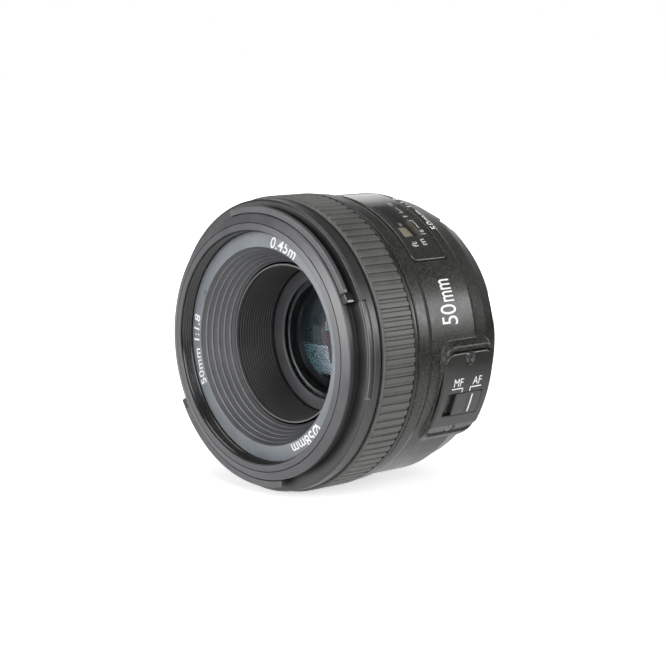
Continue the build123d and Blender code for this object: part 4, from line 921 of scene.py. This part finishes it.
def element(name, front, front_curve, rear, rear_curve, rim, front_clear, rear_clear, material):
    """Lens element: two spherical faces from pole to clear radius, joined round the rim."""
    near, far = spherical(front, front_curve, front_clear), spherical(rear, rear_curve, rear_clear)[::-1]
    rim_line = np.array([(rim, near[-1, 1] + 0.02), (rim, far[0, 1] - 0.02)])
    made = lathe(f"{name}_glass", np.concatenate([near, rim_line, far]), material, "optical_unit",
                 "optical_glass", name, count=120, closed=False)
    refinish(made, edge_lacquer, lambda r, y: r > min(front_clear, rear_clear) - 0.05)


edge_lacquer = surface("matt_black_edge_lacquer", "#101010", "#181818", (0.5, 0.6), relief=0.001)
teal_film = coated_glass("crown_glass_with_teal_film", "#5f9596", "#f4fafa", 1.62)
violet_film = coated_glass("flint_glass_with_violet_film", "#ff8098", "#faf4fa", 1.62)
element("lens_1", 20.9, 35.5, 25.1, 150.0, 17.0, 17.0, 17.0, teal_film)
element("lens_2", 25.3, 19.8, 30.9, 60.0, 14.0, 14.0, 14.0, violet_film)
element("lens_3", 31.2, 60.0, 32.6, 12.9, 12.0, 12.0, 9.8, teal_film)
element("lens_4", 47.0, -14.1, 48.2, 0.0, 12.0, 9.5, 12.0, teal_film)
element("lens_5", 48.2, 0.0, 54.0, -18.9, 12.0, 12.0, 12.0, violet_film)
element("lens_6", 54.2, 75.0, 58.3, -37.0, 12.5, 12.5, 12.5, teal_film)


# ---- steps of the glass cell ----
# Behind the front element the grey anodised cell narrows in nine turned steps. They dim the light
# that misses the next element, and show through the glass as fine rings.
steps, steps_front, steps_rear, cell_outer = 9, 26.4, 31.0, 17.3
treads = flight(steps, (16.9, steps_front), (-0.3, 0.5), (0, 0), (0, 0.26), (0.12, 0.34), (-0.02, 0.48))[1]
steps_outline = np.concatenate([treads, [
    (14.3, steps_rear), (cell_outer, steps_rear), (cell_outer, steps_front)]])
cell_metal = surface("grey_anodised_cell", "#6c6c6e", "#7c7c7e", (0.35, 0.45), grain=0.18)
lathe("glass_cell_steps", rounded(steps_outline, 0.04), cell_metal, "optical_unit", "inner_plastic")


# ---- pieces seen through the glass, from the rear or not at all ----
# The other pieces keep the shape they were built with and get the finish of their real material.
finishes = {
    "black_plastic": surface("black_ABS", "#232323", "#2e2e2e", (0.45, 0.55), relief=0.003),
    "bezel_plastic": bezel_plastic,
    "inner_plastic": barrel_metal,
    "barrel_aluminium": casing_plastic,
    "mount_metal": surface("chromed_brass", "#a8a8a6", "#bcbcba", (0.18, 0.28), grain=0.3, metallic=1.0),
    "contact_gold": surface(
        "gold_plated_bronze", "#c8a24a", "#d8b45c", (0.2, 0.3), grain=0.1, relief=0.001, metallic=1.0),
    "board_green": surface(
        "solder_masked_glass_epoxy", "#1e4a2c", "#285a38", (0.35, 0.5), grain=0.3, relief=0.004),
    "chip_black": surface("black_epoxy_moulding", "#1c1c1e", "#262628", (0.5, 0.6), grain=0.1, relief=0.003),
    "motor_steel": surface("nickel_plated_steel", "#8c8c8a", "#9c9c9a", (0.25, 0.35), metallic=1.0),
    "gear_plastic": surface("white_acetal", "#c8c8c0", "#d8d8d0", (0.4, 0.5)),
    "blade_steel": surface("blackened_blade_steel", "#38383a", "#444448", (0.35, 0.5), metallic=0.6),
    "spring_steel": surface(
        "spring_steel", "#8a8a88", "#9a9a98", (0.25, 0.35), grain=0.1, relief=0.001, metallic=1.0),
    "roller_brass": surface("turned_brass", "#a08448", "#b49858", (0.25, 0.35), metallic=1.0),
    "screw_steel": screw_steel,
    "switch_plastic": switch_plastic,
    "scale_plate": scale_plate,
    "white_paint": white_paint,
}
slots = {entry["node"]: entry["material_slot"] for entry in frame["record"]["subparts"]}
for name, made in frame["nodes"].items():
    if not made.hide_render:
        made.data.materials.clear()
        made.data.materials.append(finishes[slots[name]])


# ---- floor, background and light ----
# A white card under the lens runs out of sight. Five plain softboxes stand about a metre away: one
# in front, one at the left, one beside the camera, one above and one behind at the right.
card = bpy.data.meshes.new("floor")
card.from_pydata([(x, y, cad_low.z) for x, y in ((-4, -4), (4, -4), (4, 4), (-4, 4))], [], [(0, 1, 2, 3)])
white = (1, 1, 1, 1)


def mirrored_ray(tree):
    """One for a ray that a surface reflects or lets through, and zero for the others."""
    path = add(tree, "LightPath")
    return add(tree, "Math", {0: path.outputs["Is Glossy Ray"], 1: path.outputs["Is Transmission Ray"]},
               operation="MAXIMUM")


paper, tree = blank(bpy.data.materials, "white_card")
place = add(tree, "TexCoord").outputs["Object"]
matt = add(tree, "BsdfDiffuse", {"Color": ramp(tree, noise(tree, 0.8), (0.0, 1.0), (0.84, 0.88))})
away = add(tree, "VectorMath", {0: place}, operation="LENGTH").outputs["Value"]
seen = add(tree, "Math", {0: ramp(tree, away, (0.09, 0.3), (0.6, 1.0), "SMOOTHSTEP"),
                          1: add(tree, "LightPath").outputs["Is Camera Ray"]}, operation="MULTIPLY")
aside = add(tree, "VectorMath", {0: place, 1: (0.71, 0.71, 0)}, operation="DOT_PRODUCT").outputs["Value"]
fading = ramp(tree, aside, (0.05, 0.16), (1.0, 0.02), "SMOOTHSTEP")
glow = add(tree, "Emission", {"Color": white, "Strength": seen})
both = add(tree, "AddShader", {0: matt, 1: glow})
image = add(tree, "Emission", {"Color": white, "Strength": fading})
choice = add(tree, "MixShader", {0: mirrored_ray(tree), 1: both, 2: image})
add(tree, "OutputMaterial", {"Surface": choice})
card.materials.append(paper)
floor = placed("floor", card)

world, tree = blank(bpy.data.worlds, "studio")
behind = add(tree, "VectorMath", {0: add(tree, "TexCoord").outputs["Generated"], 1: (-0.726, 0.676, 0.12)},
             operation="DOT_PRODUCT").outputs["Value"]
backdrop = ramp(tree, behind, (0.86, 0.98), (0.16, 1.0), "SMOOTHSTEP")
ambient = add(tree, "Mix", {"Factor": mirrored_ray(tree), "A": 0.3, "B": backdrop})
level = add(tree, "Math", {0: ambient, 1: add(tree, "LightPath").outputs["Is Camera Ray"]},
            operation="MAXIMUM")
sky = add(tree, "Background", {"Color": white, "Strength": level})
add(tree, "OutputWorld", {"Surface": sky})
bpy.context.scene.world = world


def lamp(name, toward, width, height, radiance):
    """Softbox a metre away in this direction, turned to the lens; power = radiance pi area."""
    light = bpy.data.lights.new(name, "AREA")
    light.shape, light.size, light.size_y = "RECTANGLE", width, height
    light.energy = radiance * np.pi * width * height
    made = placed(name, light)
    toward = Vector(toward).normalized()
    made.location = toward
    made.rotation_euler = toward.to_track_quat("Z", "Y").to_euler()
    made.visible_camera = False


lamp("front_softbox", (-0.11, -0.98, 0.05), 1.16, 0.74, 5.6)
lamp("left_softbox", (-0.95, -0.3, 0.12), 0.8, 0.4, 0.3)
lamp("camera_softbox", (0.85, -0.3, 0.42), 0.7, 0.7, 3.2)
lamp("top_softbox", (-0.05, -0.2, 1.0), 0.7, 0.6, 2.4)
lamp("rear_softbox", (0.69, 0.68, 0.25), 0.6, 0.24, 7.2)

bpy.context.scene.view_settings.view_transform = "Standard"
